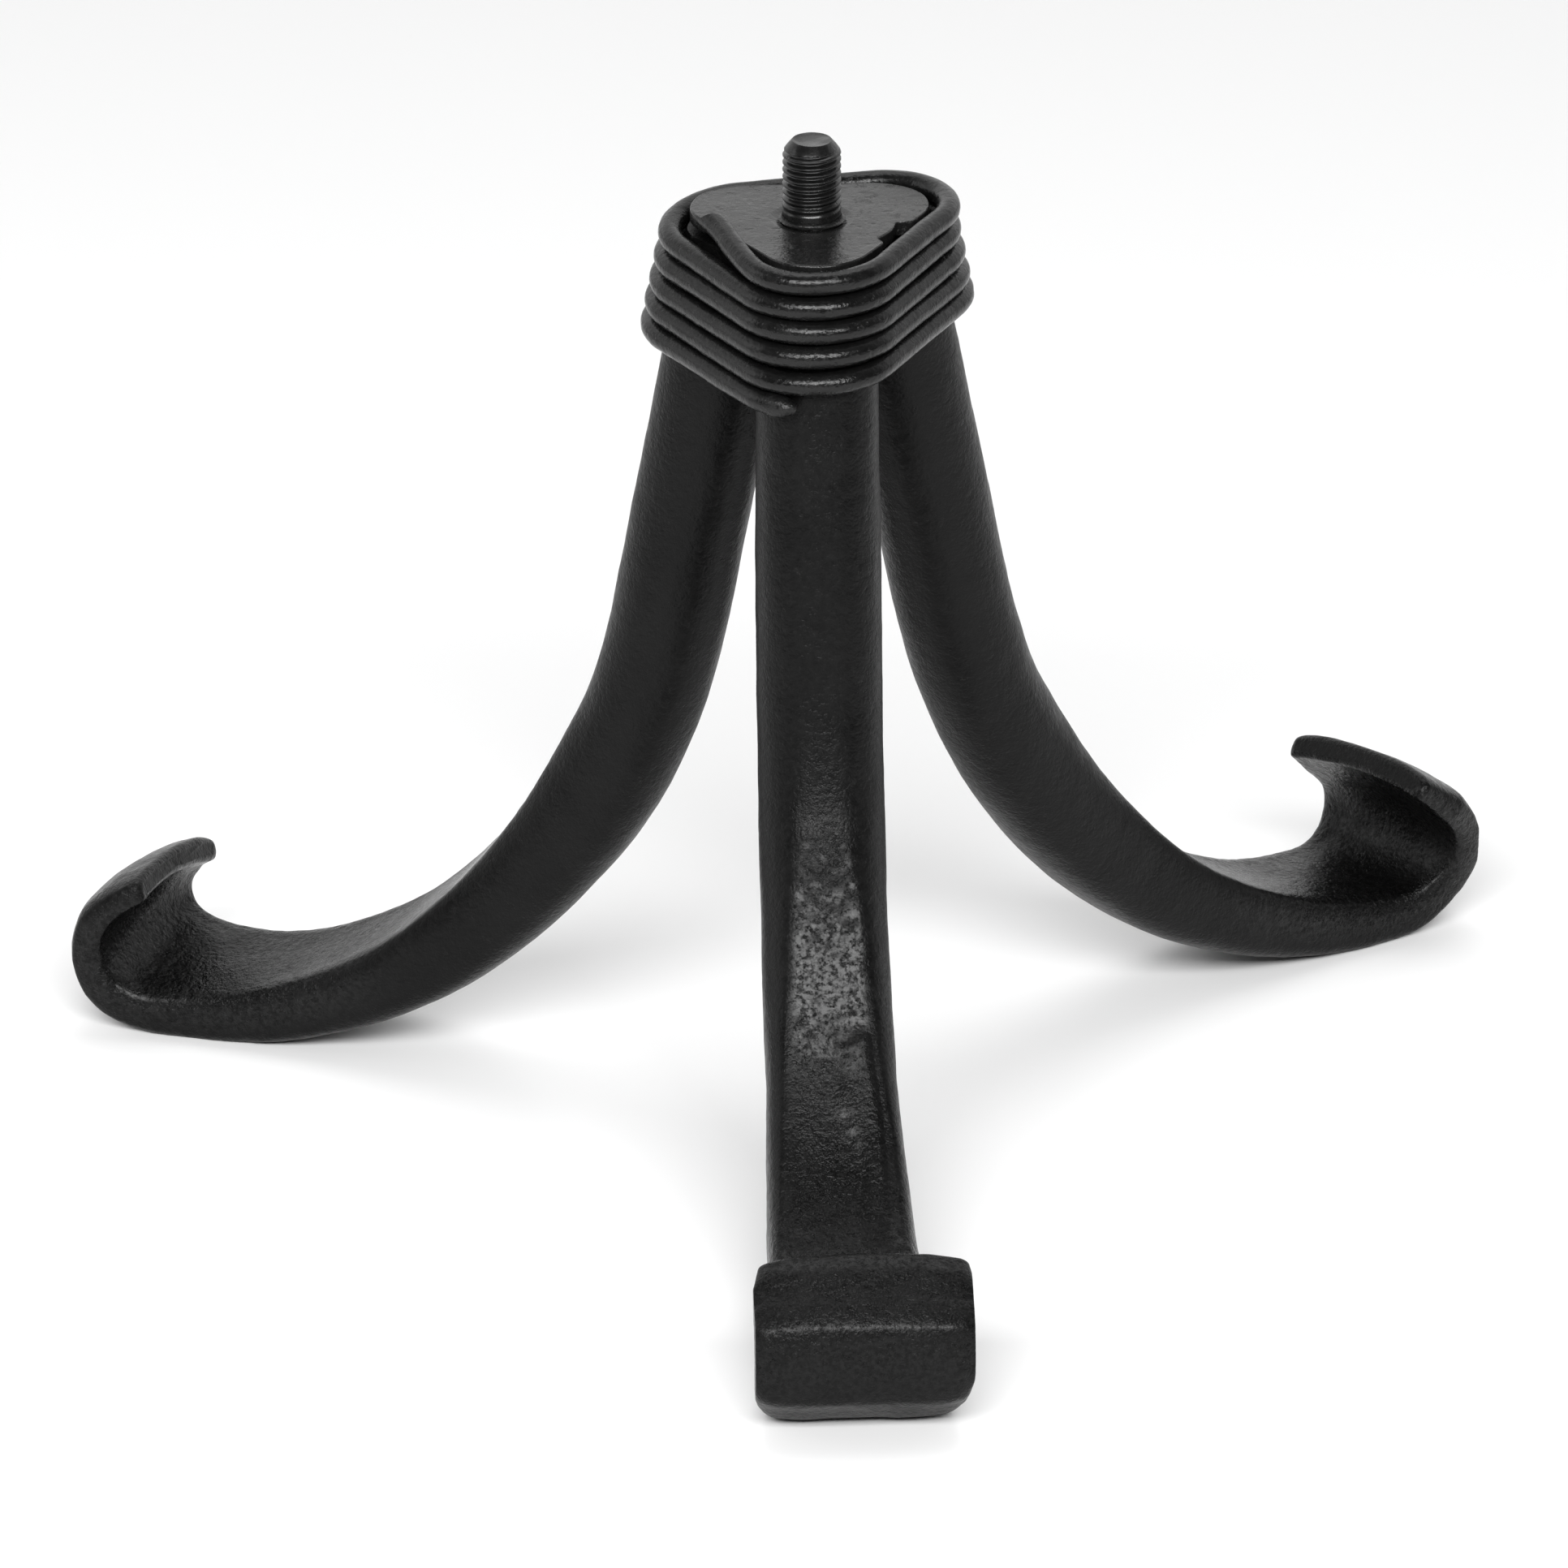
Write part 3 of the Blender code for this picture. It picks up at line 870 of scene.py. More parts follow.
    def relief(self, grid: np.ndarray, place: np.ndarray, panel: np.ndarray) -> np.ndarray:
        """How far each point stands out: broad waves, grain, scale, worn rims and hammer marks.

        Args:
            grid: the leg's points.
            place: each ring's share of the leg's length.
            panel: mask of the flat.
        Returns:
            The height at each point.
        """
        seed = self.plan.seed
        smooth = sum(wave.over(grid, seed) for wave in self.waves) + self.grain.over(grid, seed)
        scaled = panel * (ease(place, 0.40, 0.44) * (1.0 - 0.6 * ease(place, 0.55, 0.64)))[:, None]
        blows = hammer_marks(grid, self.hammer_size, seed + 3) * (0.35 + 0.65 * panel)
        rim = ease(place, 0.80, 0.90)[:, None] * (1 - panel)
        shoulder = ease(place, 0.66, 0.76)[:, None] * (1 - panel)
        return (smooth + scaled * self.coarse.over(grid, seed)
                - self.hammer_depth * ease(place, 0.40, 0.52)[:, None] * blows
                + rim * self.worn.over(grid, seed) + shoulder * self.fired.over(grid, seed))

    def grid(self) -> tuple[np.ndarray, dict[str, np.ndarray]]:
        """Work out the leg's surface in the stand's place.

        Returns:
            The grid of points, and its masks by attribute name.
        """
        marks = self.marks()
        place = marks / marks[-1]
        line = self.line(marks)
        across, through, panel = self.section(marks)
        if self.plan.lapped:
            through = through + FoldedLap().surface(marks, across) * panel
        through = through + self.facets(marks, line[2])[:, None] * self.lower_side()
        points = self.bent(place, line, across, through)
        faded = self.relief(points, place, panel) * ease(marks, 4 * MM, 30 * MM)[:, None]
        points = roughened(points, faded)
        points = np.concatenate([points, self.end_face(points[-1])])
        points[..., :2] += self.axis
        return points, self.masks(place, panel, len(points))

    def bent(self, place: np.ndarray, line: tuple[np.ndarray, ...], across: np.ndarray,
             through: np.ndarray) -> np.ndarray:
        """Carry the rings along the middle line, and set the leg on the floor under its seat.

        A ring's offsets are turned by the twist and shifted by the drift, both of which grow
        towards the foot.  The leg is slid along its own lean until it stands on the floor and its
        first ring, cut level, lies on the seat at the bundle's top.

        Args:
            place: each ring's share of the leg's length.
            line: reach, height and angle of the middle line.
            across: offsets across the leg.
            through: offsets through it.
        Returns:
            The leg's points round the stand's axis.
        """
        plan = self.plan
        reach, height, angle = line
        drift = plan.drift * np.clip((place - 0.35) / 0.65, 0.0, 1.0)[:, None] ** 2
        twist = math.radians(plan.twist) * np.clip((place - 0.55) / 0.45, 0.0, 1.0)[:, None]
        side = drift + across * np.cos(twist) - through * np.sin(twist)
        lift = across * np.sin(twist) + through * np.cos(twist)
        radial = reach[:, None] + lift * np.cos(angle)[:, None]
        level = height[:, None] + lift * np.sin(angle)[:, None]
        level -= level.min() + self.sole
        lean = math.tan(angle[0])
        above = level[0].mean() - BUNDLE.top
        outward, sideways = direction(plan.heading)
        start = BUNDLE.bar_circle * direction(plan.seat)[0] - above * lean * outward
        radial[0] += (level[0] - BUNDLE.top) * lean
        level[0] = BUNDLE.top
        points = start + radial[..., None] * outward + side[..., None] * sideways
        points[..., 2] = level
        return points

    def masks(self, place: np.ndarray, panel: np.ndarray, rings: int) -> dict[str, np.ndarray]:
        """Where the skin is forged flat, and where its burnt scale shows.

        Args:
            place: each ring's share of the leg's length.
            panel: mask of the flat.
            rings: number of the grid's rings, those of the lip's end face among them.
        Returns:
            The masks by attribute name, 0 on the end face.
        """
        scaled = panel * (ease(place, 0.39, 0.43) * (1 - 0.7 * ease(place, 0.55, 0.64)))[:, None]
        upper = ease(np.sin(self.angles()), -0.20, 0.15)
        shoulder = upper * (1 - panel) * ease(place, 0.64, 0.76)[:, None]
        outer = self.lower_side() * ease(place, 0.885, 0.93)[:, None]
        burnt = np.maximum(scaled, np.maximum(0.9 * shoulder, 0.6 * outer))
        bare = np.zeros((rings - len(panel), self.sides))
        return {FORGED_MASK: np.concatenate([panel, bare]),
                SCALE_MASK: np.concatenate([burnt, bare])}

    def end_face(self, ring: np.ndarray) -> np.ndarray:
        """Rings that close the lip's end face: the last ring shrunk to its middle, rough as sheared.

        Args:
            ring: the last ring's points.
        Returns:
            The further rings.
        """
        shrink = np.array([0.93, 0.82, 0.66, 0.48, 0.30, 0.14])[:, None, None]
        middle = ring.mean(axis=0)
        rings = middle + (ring - middle) * shrink
        outward = unit(np.cross(ring[self.sides // 4] - middle, ring[0] - middle))
        rough = self.sheared.over(rings, self.plan.seed) * (1 - shrink[..., 0])
        return rings + rough[..., None] * outward

    def build(self) -> None:
        """Make the leg's piece."""
        points, masks = self.grid()
        name = self.plan.name
        points = keep_inside(points, name)
        Skin(f"{name}_forged", points, Finish.FORGED, (name,), masks=masks).build()


# ------------------------------------------------------------------ binding wire
@dataclass
class BindingWire:
    """The wire wound round the bars, its raised first end and its hammered-down last end.

    Attributes:
        axis: x and y of the stand's axis.
        radius: radius of the wire.
        pitch: fall of the wire in one turn.
        crest: height of the first turn's middle line, from the plate's upper face.
        lean: rise of the turns for each metre of x and of y, since they lie a little askew.
        start, end: turns from the front at which the wire begins and ends.
        lifted_in, lifted_up: how far the first end is bent inwards and up.
        taper: how much thinner the last end is, as a share.
        slack, slack_turns: how far the turns waver up and down, and how often in one turn.
        cut_lean, cut_shear, cut_rings: the first end's oblique cut: how far its normal leans
            inwards, how long it is, and over how many rings it is made.
        tack, tack_run: length of the weld at the last end, and how far it runs on past that.
        tack_overlap: how far the weld reaches back over the wire.
        tack_rings: rings of the weld.
        per_turn, sides: rings in one turn, and points in one ring.
        uneven: bumps of the whole wire.
        front_bumps, left_bumps: further bumps on its front and its left side.
        tack_bumps: bumps of the weld.
    """

    axis: np.ndarray
    radius: float = 1.95 * MM
    pitch: float = 4.1 * MM
    crest: float = -0.8 * MM
    lean: Span = (0.055, 0.045)
    start: float = -0.232
    end: float = 4.95
    lifted_in: float = 3.3 * MM
    lifted_up: float = 2.05 * MM
    taper: float = 0.05
    slack: float = 0.16 * MM
    slack_turns: float = 1.7
    cut_lean: float = 14.0
    cut_shear: float = 1.7 * MM
    cut_rings: int = 14
    tack: float = 4.5 * MM
    tack_run: float = 0.7 * MM
    tack_overlap: float = 0.2 * MM
    tack_rings: int = 40
    per_turn: int = 190
    sides: int = 28
    uneven: tuple[Bumps, Bumps] = (Bumps(0.035 * MM, 2.2 * MM, 51), Bumps(0.045 * MM, 5.5 * MM, 52))
    front_bumps: Bumps = Bumps(0.05 * MM, 1.5 * MM, 53)
    left_bumps: Bumps = Bumps(0.03 * MM, 1.1 * MM, 54)
    tack_bumps: Bumps = Bumps(0.16 * MM, 1.9 * MM, 61)

    def loop(self, turns: np.ndarray, height: np.ndarray, clearance: float) -> np.ndarray:
        """Points of the tightest rounded triangle round the bars, at each turn and height.

        In direction a its radius is the least, over all side normals p, of support(p) / cos(p - a),
        where support(p) is the furthest bar axis along p plus the clearance.

        Args:
            turns: directions in turns from the front, positive to the right.
            height: height in each direction.
            clearance: distance that the loop keeps from the bars' middles.
        Returns:
            One point for each direction.
        """
        drop = np.maximum(BUNDLE.top - height, 0.0)
        centres = np.stack([
            BUNDLE.bar_circle * direction(plan.seat)[0][:2]
            + drop[:, None] * math.tan(BUNDLE.tilt + math.radians(plan.tilt))
            * direction(plan.heading)[0][:2] for plan in LEG_PLANS], axis=1)
        azimuth = FULL_TURN * turns
        normals = np.linspace(0, FULL_TURN, 720, endpoint=False)
        support = (centres @ np.stack([np.sin(normals), -np.cos(normals)])).max(axis=1) + clearance
        facing = np.cos(normals[None, :] - azimuth[:, None])
        radius = np.where(facing > 0.2, support / np.maximum(facing, 0.2), np.inf).min(axis=1)
        return turned(radius, azimuth, height)

    def line(self, turns: np.ndarray) -> np.ndarray:
        """Middle line of the wire: the bundle's loop, falling one pitch a turn, its start raised.

        Args:
            turns: turns from the front.
        Returns:
            One point for each.
        """
        steepest = BUNDLE.tilt + math.radians(max(plan.tilt for plan in LEG_PLANS))
        clearance = (BUNDLE.bar_radius + BUNDLE.gap + self.radius) / math.cos(steepest)
        height = BUNDLE.plate_top + self.crest - self.pitch * turns
        level = self.loop(turns, height, clearance)
        points = self.loop(turns, height + level[:, :2] @ self.lean, clearance)
        waver = np.sin(FULL_TURN * turns * self.slack_turns + 0.6)
        held = ease(turns, 0.05, 0.3) * (1 - ease(turns, 4.5, 4.8))
        lifted = 1.0 - ease(turns, self.start - 0.03, -0.03)
        inward = -unit(points * np.array([1.0, 1.0, 0.0]))
        points = points + inward * (lifted * self.lifted_in)[:, None]
        points[:, 2] += self.slack * waver * held + lifted * self.lifted_up
        return points

    def tube(self, turns: np.ndarray, radii: np.ndarray) -> np.ndarray:
        """Rings round the wire's line: centre + r (cos q outward + sin q upward).

        Args:
            turns: turns from the front of each ring.
            radii: radius of each ring.
        Returns:
            The grid of points.
        """
        line = self.line(turns)
        along = unit(np.gradient(line, axis=0))
        out = unit(np.cross(along, [0.0, 0.0, 1.0]))
        rise = np.cross(out, along)
        angles = np.linspace(0, FULL_TURN, self.sides, endpoint=False)[None, :, None]
        spokes = np.cos(angles) * out[:, None, :] + np.sin(angles) * rise[:, None, :]
        return line[:, None, :] + radii[:, None, None] * spokes

    def build(self) -> None:
        """Make the wire and the weld at its lower end."""
        steps = round((self.end - self.start) * self.per_turn)
        turns = np.linspace(self.start, self.end, steps + 1)
        narrowed = 1.0 - self.taper * ease(turns, self.end - 0.06, self.end)
        grid = self.tube(turns, self.radius * narrowed)
        front = ease(np.cos(FULL_TURN * turns), 0.90, 0.99)[:, None]
        left = ease(-np.sin(FULL_TURN * turns), 0.2, 0.8)[:, None]
        rough = sum(bumps.over(grid) for bumps in self.uneven)
        rough = rough + front * self.front_bumps.over(grid) + left * self.left_bumps.over(grid)
        grid = self.cut_start(roughened(grid, rough))
        grid[..., :2] += self.axis
        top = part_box("threaded_stud")[1].z
        low, high = (np.array(corner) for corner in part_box("binding_wire"))
        grid = np.clip(grid, low, [high[0], high[1], top])
        Skin("binding_wire_wound", grid, Finish.WIRE, ("binding_wire",)).build()
        self.build_tack()

    def cut_start(self, grid: np.ndarray) -> np.ndarray:
        """Shear the first rings so that the wire's first end shows an oblique, nearly flat cut.

        A point moves along the wire in proportion to its height over the ring's middle, towards a
        normal that points up and a little inwards, and less from ring to ring.

        Args:
            grid: the wire's points.
        Returns:
            The points with the cut.
        """
        grid = grid.copy()
        along = unit((grid[4] - grid[0]).mean(axis=0))
        middle = grid[0].mean(axis=0)
        up = unit(np.array([-self.cut_lean * middle[0], -self.cut_lean * middle[1], 1.0]))
        over = ((grid[0] - middle) @ up) / self.radius
        fade = np.linspace(1.0, 0.0, self.cut_rings)[:, None] ** 1.5
        grid[:self.cut_rings] += (fade * self.cut_shear * over[None, :])[..., None] * along
        return grid

    def build_tack(self) -> None:
        """Make the weld lump over the wire's lower end, a tube whose radius falls to a blunt tip."""
        one_turn = FULL_TURN * (BUNDLE.bar_circle + BUNDLE.bar_radius + self.radius + 5 * MM)
        first = self.end - self.tack_overlap / one_turn
        turns = np.linspace(first, first + (self.tack + self.tack_run) / one_turn, self.tack_rings)
        fade = np.linspace(0.0, 1.0, self.tack_rings)
        grid = self.tube(turns, self.radius * np.sqrt(1.0 - 0.93 * fade ** 3))
        grid = roughened(grid, self.tack_bumps.over(grid))
        grid[..., :2] += self.axis
        Skin("wire_tack_weld_lump", grid, Finish.WELD, ("wire_tack_weld",)).build()


# ------------------------------------------------------------------ plate, stud and welds
@dataclass(frozen=True)
class Bite:
    """A hand-cut bite in the plate's edge.

    Attributes:
        begins: the two directions, in degrees from the front, between which it deepens.
        ends: the two between which it runs out.
        radius: radius of the edge inside it.
    """

    begins: Span
    ends: Span
    radius: float


@dataclass
class TopPlate:
    """The plate that closes the bundle, with its worn edge, two bites beside the wire and its hole.

    Attributes:
        axis: x and y of the stand's axis.
        wire: the wire, whose loop the plate's edge follows.
        corner: radius of the plate's three corners.
        hole: radius of the hole.
        weld_edge: radius where the countersink for the stud's weld ends.
        countersink: its depth.
        edge_round: rounding of the plate's edges.
        bites: the bites in its edge.
        filed: how far the edge wavers where it was filed.
        spokes, face_rings, edge_rings: points round the plate, rings on its upper face, and
            steps on each rounded edge.
        worn: how far the whole upper face lies below the CAD plate's, to leave room for its dents.
        dents: the upper face's dents.
        pit_depth, pit_size, pit_seed: its pits.
    """

    axis: np.ndarray
    wire: BindingWire
    corner: float = 9.5 * MM
    hole: float = 5.2 * MM
    weld_edge: float = 6.9 * MM
    countersink: float = 0.6 * MM
    edge_round: float = 0.45 * MM
    bites: tuple[Bite, Bite] = (Bite((44.0, 48.0), (78.0, 83.0), 14.1 * MM),
                                Bite((-90.0, -84.0), (-58.0, -52.0), 15.0 * MM))
    filed: float = 0.10 * MM
    spokes: int = 360
    face_rings: int = 80
    edge_rings: int = 4
    worn: float = 0.08 * MM
    dents: tuple[Bumps, Bumps] = (Bumps(0.07 * MM, 6.0 * MM, 71), Bumps(0.012 * MM, 1.6 * MM, 72))
    pit_depth: float = 0.05 * MM
    pit_size: float = 1.1 * MM
    pit_seed: int = 73

    def outline(self, azimuth: np.ndarray) -> np.ndarray:
        """Radius of the plate's edge: the rounded triangle, less the bites, unevenly filed.

        Args:
            azimuth: directions in radians from the front, positive to the right.
        Returns:
            The radius in each direction.
        """
        turns = azimuth / FULL_TURN
        loop = self.wire.loop(turns, np.full(len(turns), BUNDLE.top), self.corner)
        radius = np.linalg.norm(loop[:, :2], axis=-1)
        degrees = np.degrees(azimuth)
        for bite in self.bites:
            share = ease(degrees, *bite.begins) * (1 - ease(degrees, *bite.ends))
            radius = radius - share * np.maximum(radius - bite.radius, 0.0)
        return radius + self.filed * np.sin(azimuth * 9.0 + 1.0) * np.sin(azimuth * 4.0)

    def grid(self) -> np.ndarray:
        """The plate's rings: out over the upper face, down the rounded edge and back to the hole.

        Between the two rings at the hole, a ring's radius is weld_edge plus a share of the way to
        the edge, plus the bulge of the edge's round.

        Returns:
            The grid of points round the stand's axis.
        """
        azimuth = np.linspace(-math.pi, math.pi, self.spokes, endpoint=False)
        top, bottom, rounding = BUNDLE.plate_top, BUNDLE.plate_bottom, self.edge_round
        down = np.linspace(0, math.pi / 2, self.edge_rings + 1)
        face = np.linspace(0.0, 1.0, self.face_rings)
        turn = np.concatenate([down[1:], down[::-1]])
        share = np.concatenate([face, np.ones(len(turn))])[:, None]
        bulge = rounding * np.concatenate([np.zeros(len(face)), np.sin(turn)])[:, None]
        reach = self.outline(azimuth) - rounding - self.weld_edge
        hole = np.full((1, self.spokes), self.hole)
        radii = np.concatenate([hole, self.weld_edge + reach * share + bulge, hole])
        levels = np.concatenate([[top - self.countersink], np.full(len(face), top),
                                 top - rounding + rounding * np.cos(down[1:]),
                                 bottom + rounding - rounding * np.cos(down[::-1]), [bottom]])
        return turned(radii, azimuth, np.repeat(levels[:, None], self.spokes, axis=1))

    def build(self) -> None:
        """Make the plate's piece: its grid, with dents and pits in the upper face."""
        grid = self.grid()
        upper = grid[..., 2] > BUNDLE.plate_top - 0.001 * MM
        dents = sum(bumps.over(grid) for bumps in self.dents)
        pits = self.pit_depth * ease(ripple(grid, self.pit_size, self.pit_seed), 0.66, 0.85)
        grid[..., 2] += np.where(upper, dents - self.worn - pits, 0.0)
        grid[..., :2] += self.axis
        grid = keep_inside(grid, "top_plate")
        Skin("top_plate_cut", grid, Finish.PLATE, ("top_plate",), wrap=True, sharp=60.0).build()


@dataclass
class ThreadedStud:
    """The stud: a true helical thread over a plain foot, and a chamfered, unevenly sawn tip.

    Attributes:
        axis: x and y of the stand's axis.
        radius: radius of the thread's crests.
        depth: depth of the thread.
        pitch: distance from crest to crest.
        height: how far the stud stands over the plate.
        chamfer: how much the chamfer takes off the radius, and its length.
        turns: turns of full thread.
        clogged: how much paint fills the lowest threads, as a share of their depth.
        shrunk: how far the side lies below the CAD stud's, to leave room for its bumps.
        weld_width, weld_height: how far the weld reaches over the plate and up the stud.
        weld_overlap: how far the weld stands off the stud and reaches below the plate's face.
        levels, spokes, weld_spokes, weld_rings: rings of the stud, points round it, points
            round the weld, and rings of its curved face.
        side_bumps: bumps of the stud's side.
        sawn, sawn_depth, sawn_slope: bumps of the tip's face, how far it is sunk, and its rise
            for each metre of x and of y.
    """

    axis: np.ndarray
    radius: float = 4.9 * MM
    depth: float = 0.68 * MM
    pitch: float = 1.25 * MM
    height: float = 13.8 * MM
    chamfer: Span = (1.6 * MM, 2.2 * MM)
    turns: float = 8.0
    clogged: float = 0.35
    shrunk: float = 0.02 * MM
    weld_width: float = 0.594 * MM
    weld_height: float = 0.72 * MM
    weld_overlap: float = 0.05 * MM
    levels: int = 330
    spokes: int = 120
    weld_spokes: int = 144
    weld_rings: int = 22
    side_bumps: tuple[Bumps, Bumps] = (Bumps(0.030 * MM, 1.3 * MM, 82),
                                       Bumps(0.05 * MM, 4.0 * MM, 83))
    sawn: Bumps = Bumps(0.22 * MM, 2.4 * MM, 81)
    sawn_depth: float = 0.25 * MM
    sawn_slope: Span = (0.05, -0.03)

    def surface(self) -> np.ndarray:
        """The stud's side and tip as rings.

        At height z and azimuth a the thread's phase is z / pitch - a / one turn; the radius falls
        below the crest by depth times a wave of that phase, flattened at crest and root, faded out
        where the thread ends and cut by the chamfer's cone.

        Returns:
            The grid of points round the stand's axis.
        """
        tip = BUNDLE.plate_top + self.height
        shaved, cone_height = self.chamfer
        low = tip - cone_height - self.turns * self.pitch
        levels = np.linspace(BUNDLE.plate_bottom, tip, self.levels)[:, None]
        azimuth = np.linspace(0, FULL_TURN, self.spokes, endpoint=False)[None, :]
        phase = levels / self.pitch - azimuth / FULL_TURN
        groove = ease(np.abs((phase % 1.0) * 2.0 - 1.0), 0.10, 0.92)
        cut = ease(levels, low - 0.7 * self.pitch, low + 1.6 * self.pitch)
        fill = 1.0 - self.clogged * ease(tip - levels, 8.0 * MM, 11.0 * MM)
        share = np.clip((levels - (tip - cone_height)) / cone_height, 0.0, 1.0)
        cone = self.radius - shaved * share ** 1.35
        radius = np.minimum(self.radius - self.depth * groove * cut * fill, cone)
        grid = turned(radius, azimuth, np.broadcast_to(levels, radius.shape))
        return np.concatenate([grid, self.tip_rings(grid[-1])])

    def tip_rings(self, ring: np.ndarray) -> np.ndarray:
        """The tip: rounded edge, then an uneven sawn face that dips towards one side.

        Args:
            ring: the side's last ring.
        Returns:
            The further rings.
        """
        centre = ring.mean(axis=0)
        shares = np.array([0.97, 0.90, 0.80, 0.66, 0.50, 0.34, 0.18])[:, None, None]
        rings = centre + (ring - centre) * shares
        slope = (rings - centre)[..., :2] @ self.sawn_slope
        sunk = np.minimum(slope + self.sawn.over(rings) - self.sawn_depth, 0.0)
        rings[..., 2] += sunk * (1 - shares[..., 0] ** 6)
        return rings

    def build(self) -> None:
        """Make the stud and the weld bead at its foot."""
        grid = self.surface()
        rough = sum(bumps.over(grid) for bumps in self.side_bumps)
        spokes = unit((grid - grid.mean(axis=1, keepdims=True)) * np.array([1.0, 1.0, 0.0]))
        above = ease(grid[..., 2], BUNDLE.plate_top, BUNDLE.plate_top + 1.0 * MM)
        grid = grid + spokes * ((rough - self.shrunk) * above)[..., None]
        grid[..., :2] += self.axis
        grid = keep_inside(grid, "threaded_stud")
        Skin("threaded_stud_cut", grid, Finish.STUD, ("threaded_stud",), sharp=70.0).build()
        self.build_weld()

    def build_weld(self) -> None:
        """Make the fillet bead: a concave curve from the stud down to the plate, lumpy all round."""
        azimuth = np.linspace(0, FULL_TURN, self.weld_spokes, endpoint=False)[None, :]
        inner, foot = self.radius + self.weld_overlap, BUNDLE.plate_top - self.weld_overlap
        share = np.linspace(0.0, 1.0, self.weld_rings)[:, None]
        lumps = 1.0 + 0.16 * np.sin(azimuth * 7 + 0.7) * np.sin(azimuth * 3) + 0.05 * np.sin(azimuth * 17)
        width = self.weld_width * lumps
        tall = self.weld_height * (1.0 + 0.15 * np.sin(azimuth * 5 + 2.0))
        under = np.full_like(azimuth, foot)
        radii = np.vstack([np.full_like(azimuth, inner), inner + width,
                           inner + width * (1.0 - share) ** 2.4])
        levels = np.vstack([under, under, BUNDLE.plate_top + tall * share ** 2.0])
        grid = turned(radii, azimuth, levels)
        grid[..., :2] += self.axis
        Skin("stud_weld_bead", grid, Finish.WELD, ("stud_weld",), wrap=True, sharp=80.0).build()


@dataclass
class HiddenWelds:
    """The welds inside the bundle: the CAD nodes stay and take the weld's finish."""

    nodes: tuple[str, ...] = ("core_weld", "front_plate_weld", "right_plate_weld", "left_plate_weld")

    def dress(self, shown: dict[str, bpy.types.Object]) -> None:
        """Give each node's object the weld finish in all its material slots.

        Args:
            shown: the CAD nodes' objects by name.
        """
        for name in self.nodes:
            for slot in shown[name].material_slots:
                slot.material = Finish.WELD.material()
            log.info("%s: dressed", name)


# ------------------------------------------------------------------ floor, light and camera
@dataclass(frozen=True)
class SoftBox:
    """A rectangular soft light.

    Attributes:
        name: the light's name.
        place: where it hangs.
        aim_height: height of the point over the origin that it looks at.
        size: its two sides.
        power: its power in watts.
    """

    name: str
    place: tuple[float, float, float]
    aim_height: float
    size: Span
    power: float

    def build(self) -> None:
        """Hang the light and turn it to its point."""
        data = bpy.data.lights.new(self.name, "AREA")
        data.shape = "RECTANGLE"
        data.size, data.size_y = self.size
        data.energy = self.power
        lamp = bpy.data.objects.new(self.name, data)
        lamp.location = self.place
        gaze = Vector((0.0, 0.0, self.aim_height)) - Vector(self.place)
        lamp.rotation_euler = gaze.to_track_quat("-Z", "Y").to_euler()
        bpy.context.collection.objects.link(lamp)


SOFT_BOXES = (
    SoftBox("front_softbox", (-0.10, -1.22, 1.05), aim_height=0.08, size=(1.7, 0.46), power=34.0),
    SoftBox("top_softbox", (0.1, 0.45, 1.45), aim_height=0.10, size=(1.1, 0.7), power=5.0),
    SoftBox("left_softbox", (-1.30, 0.15, 0.60), aim_height=0.08, size=(0.5, 0.9), power=2.0),
    SoftBox("right_softbox", (1.30, 0.30, 0.65), aim_height=0.08, size=(0.5, 0.9), power=0.6),
)


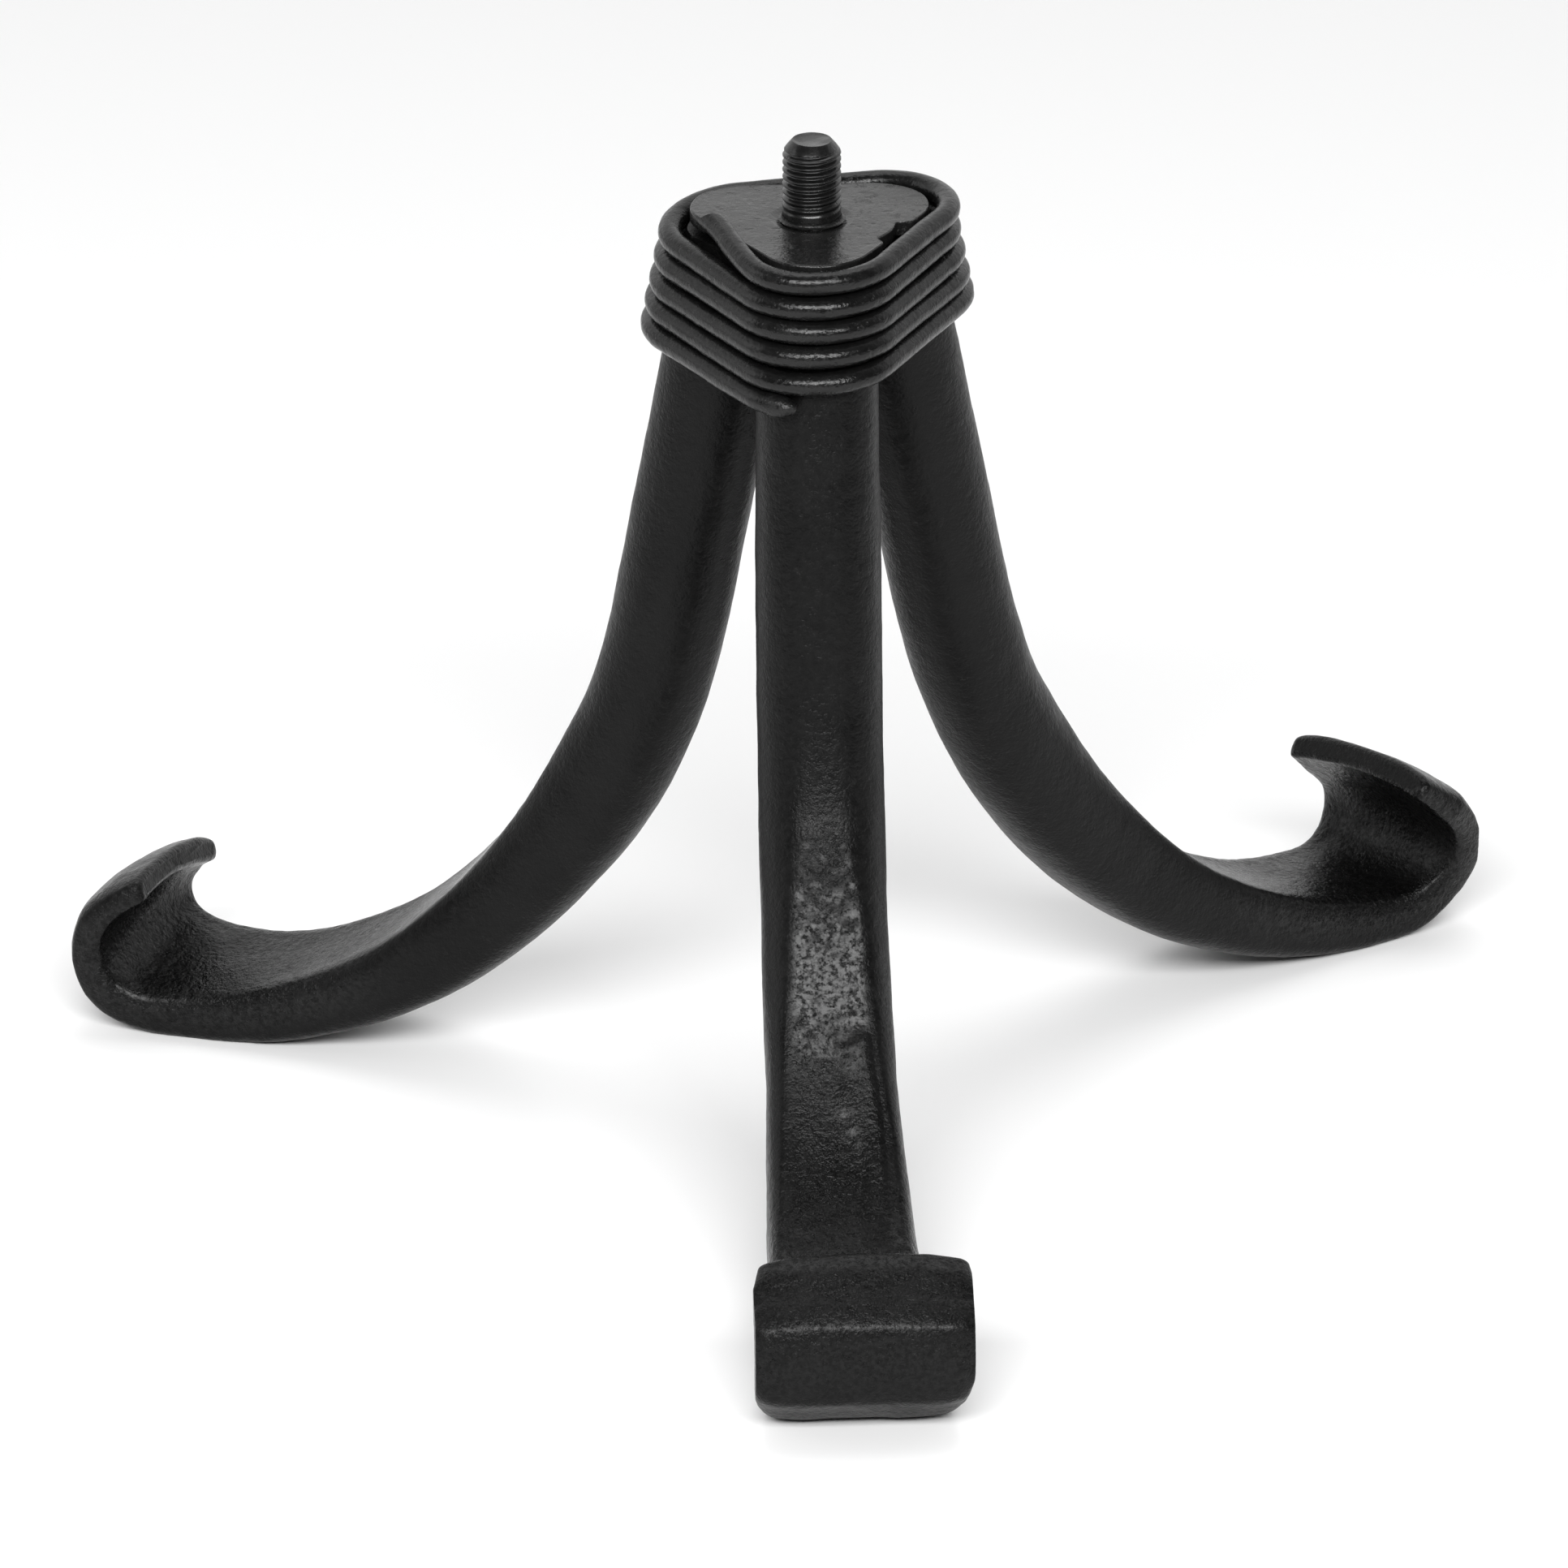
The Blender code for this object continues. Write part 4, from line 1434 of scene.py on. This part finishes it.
@dataclass
class Studio:
    """Pale floor, soft light and the camera.

    Attributes:
        axis: x and y of the stand's axis.
        floor_half: half the floor's side.
        floor_grey: lightness of the floor.
        horizon: how far behind the stand the surround starts and ends to brighten, as the y of
            a unit vector.
        surround: the surround's strength in front, and how much it gains towards the back.
        aim_height, aim_right: the point that the camera looks at, over and beside the axis.
        distance: the camera's distance from it.
        azimuth, elevation: the camera's direction, in degrees.
        lens, sensor: focal length and sensor width in millimetres.
        clip: nearest and furthest distance that the camera sees.
    """

    axis: np.ndarray
    floor_half: float = 12.0
    floor_grey: float = 0.93
    horizon: Span = (-0.10, 0.80)
    surround: Span = (0.12, 0.95)
    aim_height: float = 60.3 * MM
    aim_right: float = -4.58 * MM
    distance: float = 2.0
    azimuth: float = -2.96
    elevation: float = 24.31
    lens: float = 272.3
    sensor: float = 36.0
    clip: Span = (0.05, 60.0)

    def build(self) -> None:
        """Make everything that isn't the object."""
        self.floor()
        self.sky()
        for box in SOFT_BOXES:
            box.build()
        self.camera()

    def floor(self) -> None:
        """A wide pale floor under the feet."""
        half = self.floor_half
        mesh = bpy.data.meshes.new("studio_floor")
        corners = [(-half, -half, 0.0), (half, -half, 0.0), (half, half, 0.0), (-half, half, 0.0)]
        mesh.from_pydata(corners, [], [(0, 1, 2, 3)])
        material = bpy.data.materials.new("pale_floor")
        graph = Graph(material, "Principled BSDF")
        graph.feed(Base_Color=grey(self.floor_grey), Roughness=0.9, Specular_IOR_Level=0.1)
        mesh.materials.append(material)
        floor = bpy.data.objects.new("studio_floor", mesh)
        bpy.context.collection.objects.link(floor)

    def sky(self) -> None:
        """A white surround, bright behind the stand and dim in front of it."""
        world = bpy.data.worlds.new("studio_surround")
        graph = Graph(world, "Background")
        toward = graph.node("ShaderNodeTexCoord", output="Generated")
        back = graph.node("ShaderNodeSeparateXYZ", None, {"Vector": toward}, output="Y")
        base, gain = self.surround
        graph.feed(Color=grey(1.0), Strength=back.between(*self.horizon) * gain + base)
        bpy.context.scene.world = world

    def camera(self) -> None:
        """The camera: a long lens, looking down at the stand from the front."""
        a, e = math.radians(self.azimuth), math.radians(self.elevation)
        back = Vector((math.sin(a) * math.cos(e), -math.cos(a) * math.cos(e), math.sin(e)))
        right = Vector((math.cos(a), math.sin(a), 0.0))
        aim = Vector((self.axis[0], self.axis[1], self.aim_height)) + right * self.aim_right
        data = bpy.data.cameras.new("camera")
        data.lens, data.sensor_width = self.lens, self.sensor
        data.clip_start, data.clip_end = self.clip
        camera = bpy.data.objects.new("camera", data)
        camera.location = aim + back * self.distance
        camera.rotation_euler = (-back).to_track_quat("-Z", "Y").to_euler()
        bpy.context.collection.objects.link(camera)
        bpy.context.scene.camera = camera
        bpy.context.scene.view_settings.view_transform = "Standard"


def main() -> None:
    """Load the frame, find the stand's axis from the stud's box, and build the stand on it."""
    logging.basicConfig(level=logging.INFO, format="%(name)s: %(message)s")
    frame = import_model()
    low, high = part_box("threaded_stud")
    axis = np.array([(low.x + high.x) / 2, (low.y + high.y) / 2])

    Studio(axis).build()
    for plan in LEG_PLANS:
        ForgedLeg(plan, axis).build()
    wire = BindingWire(axis)
    wire.build()
    TopPlate(axis, wire).build()
    ThreadedStud(axis).build()
    HiddenWelds().dress(frame["nodes"])


if __name__ == "__main__":
    main()
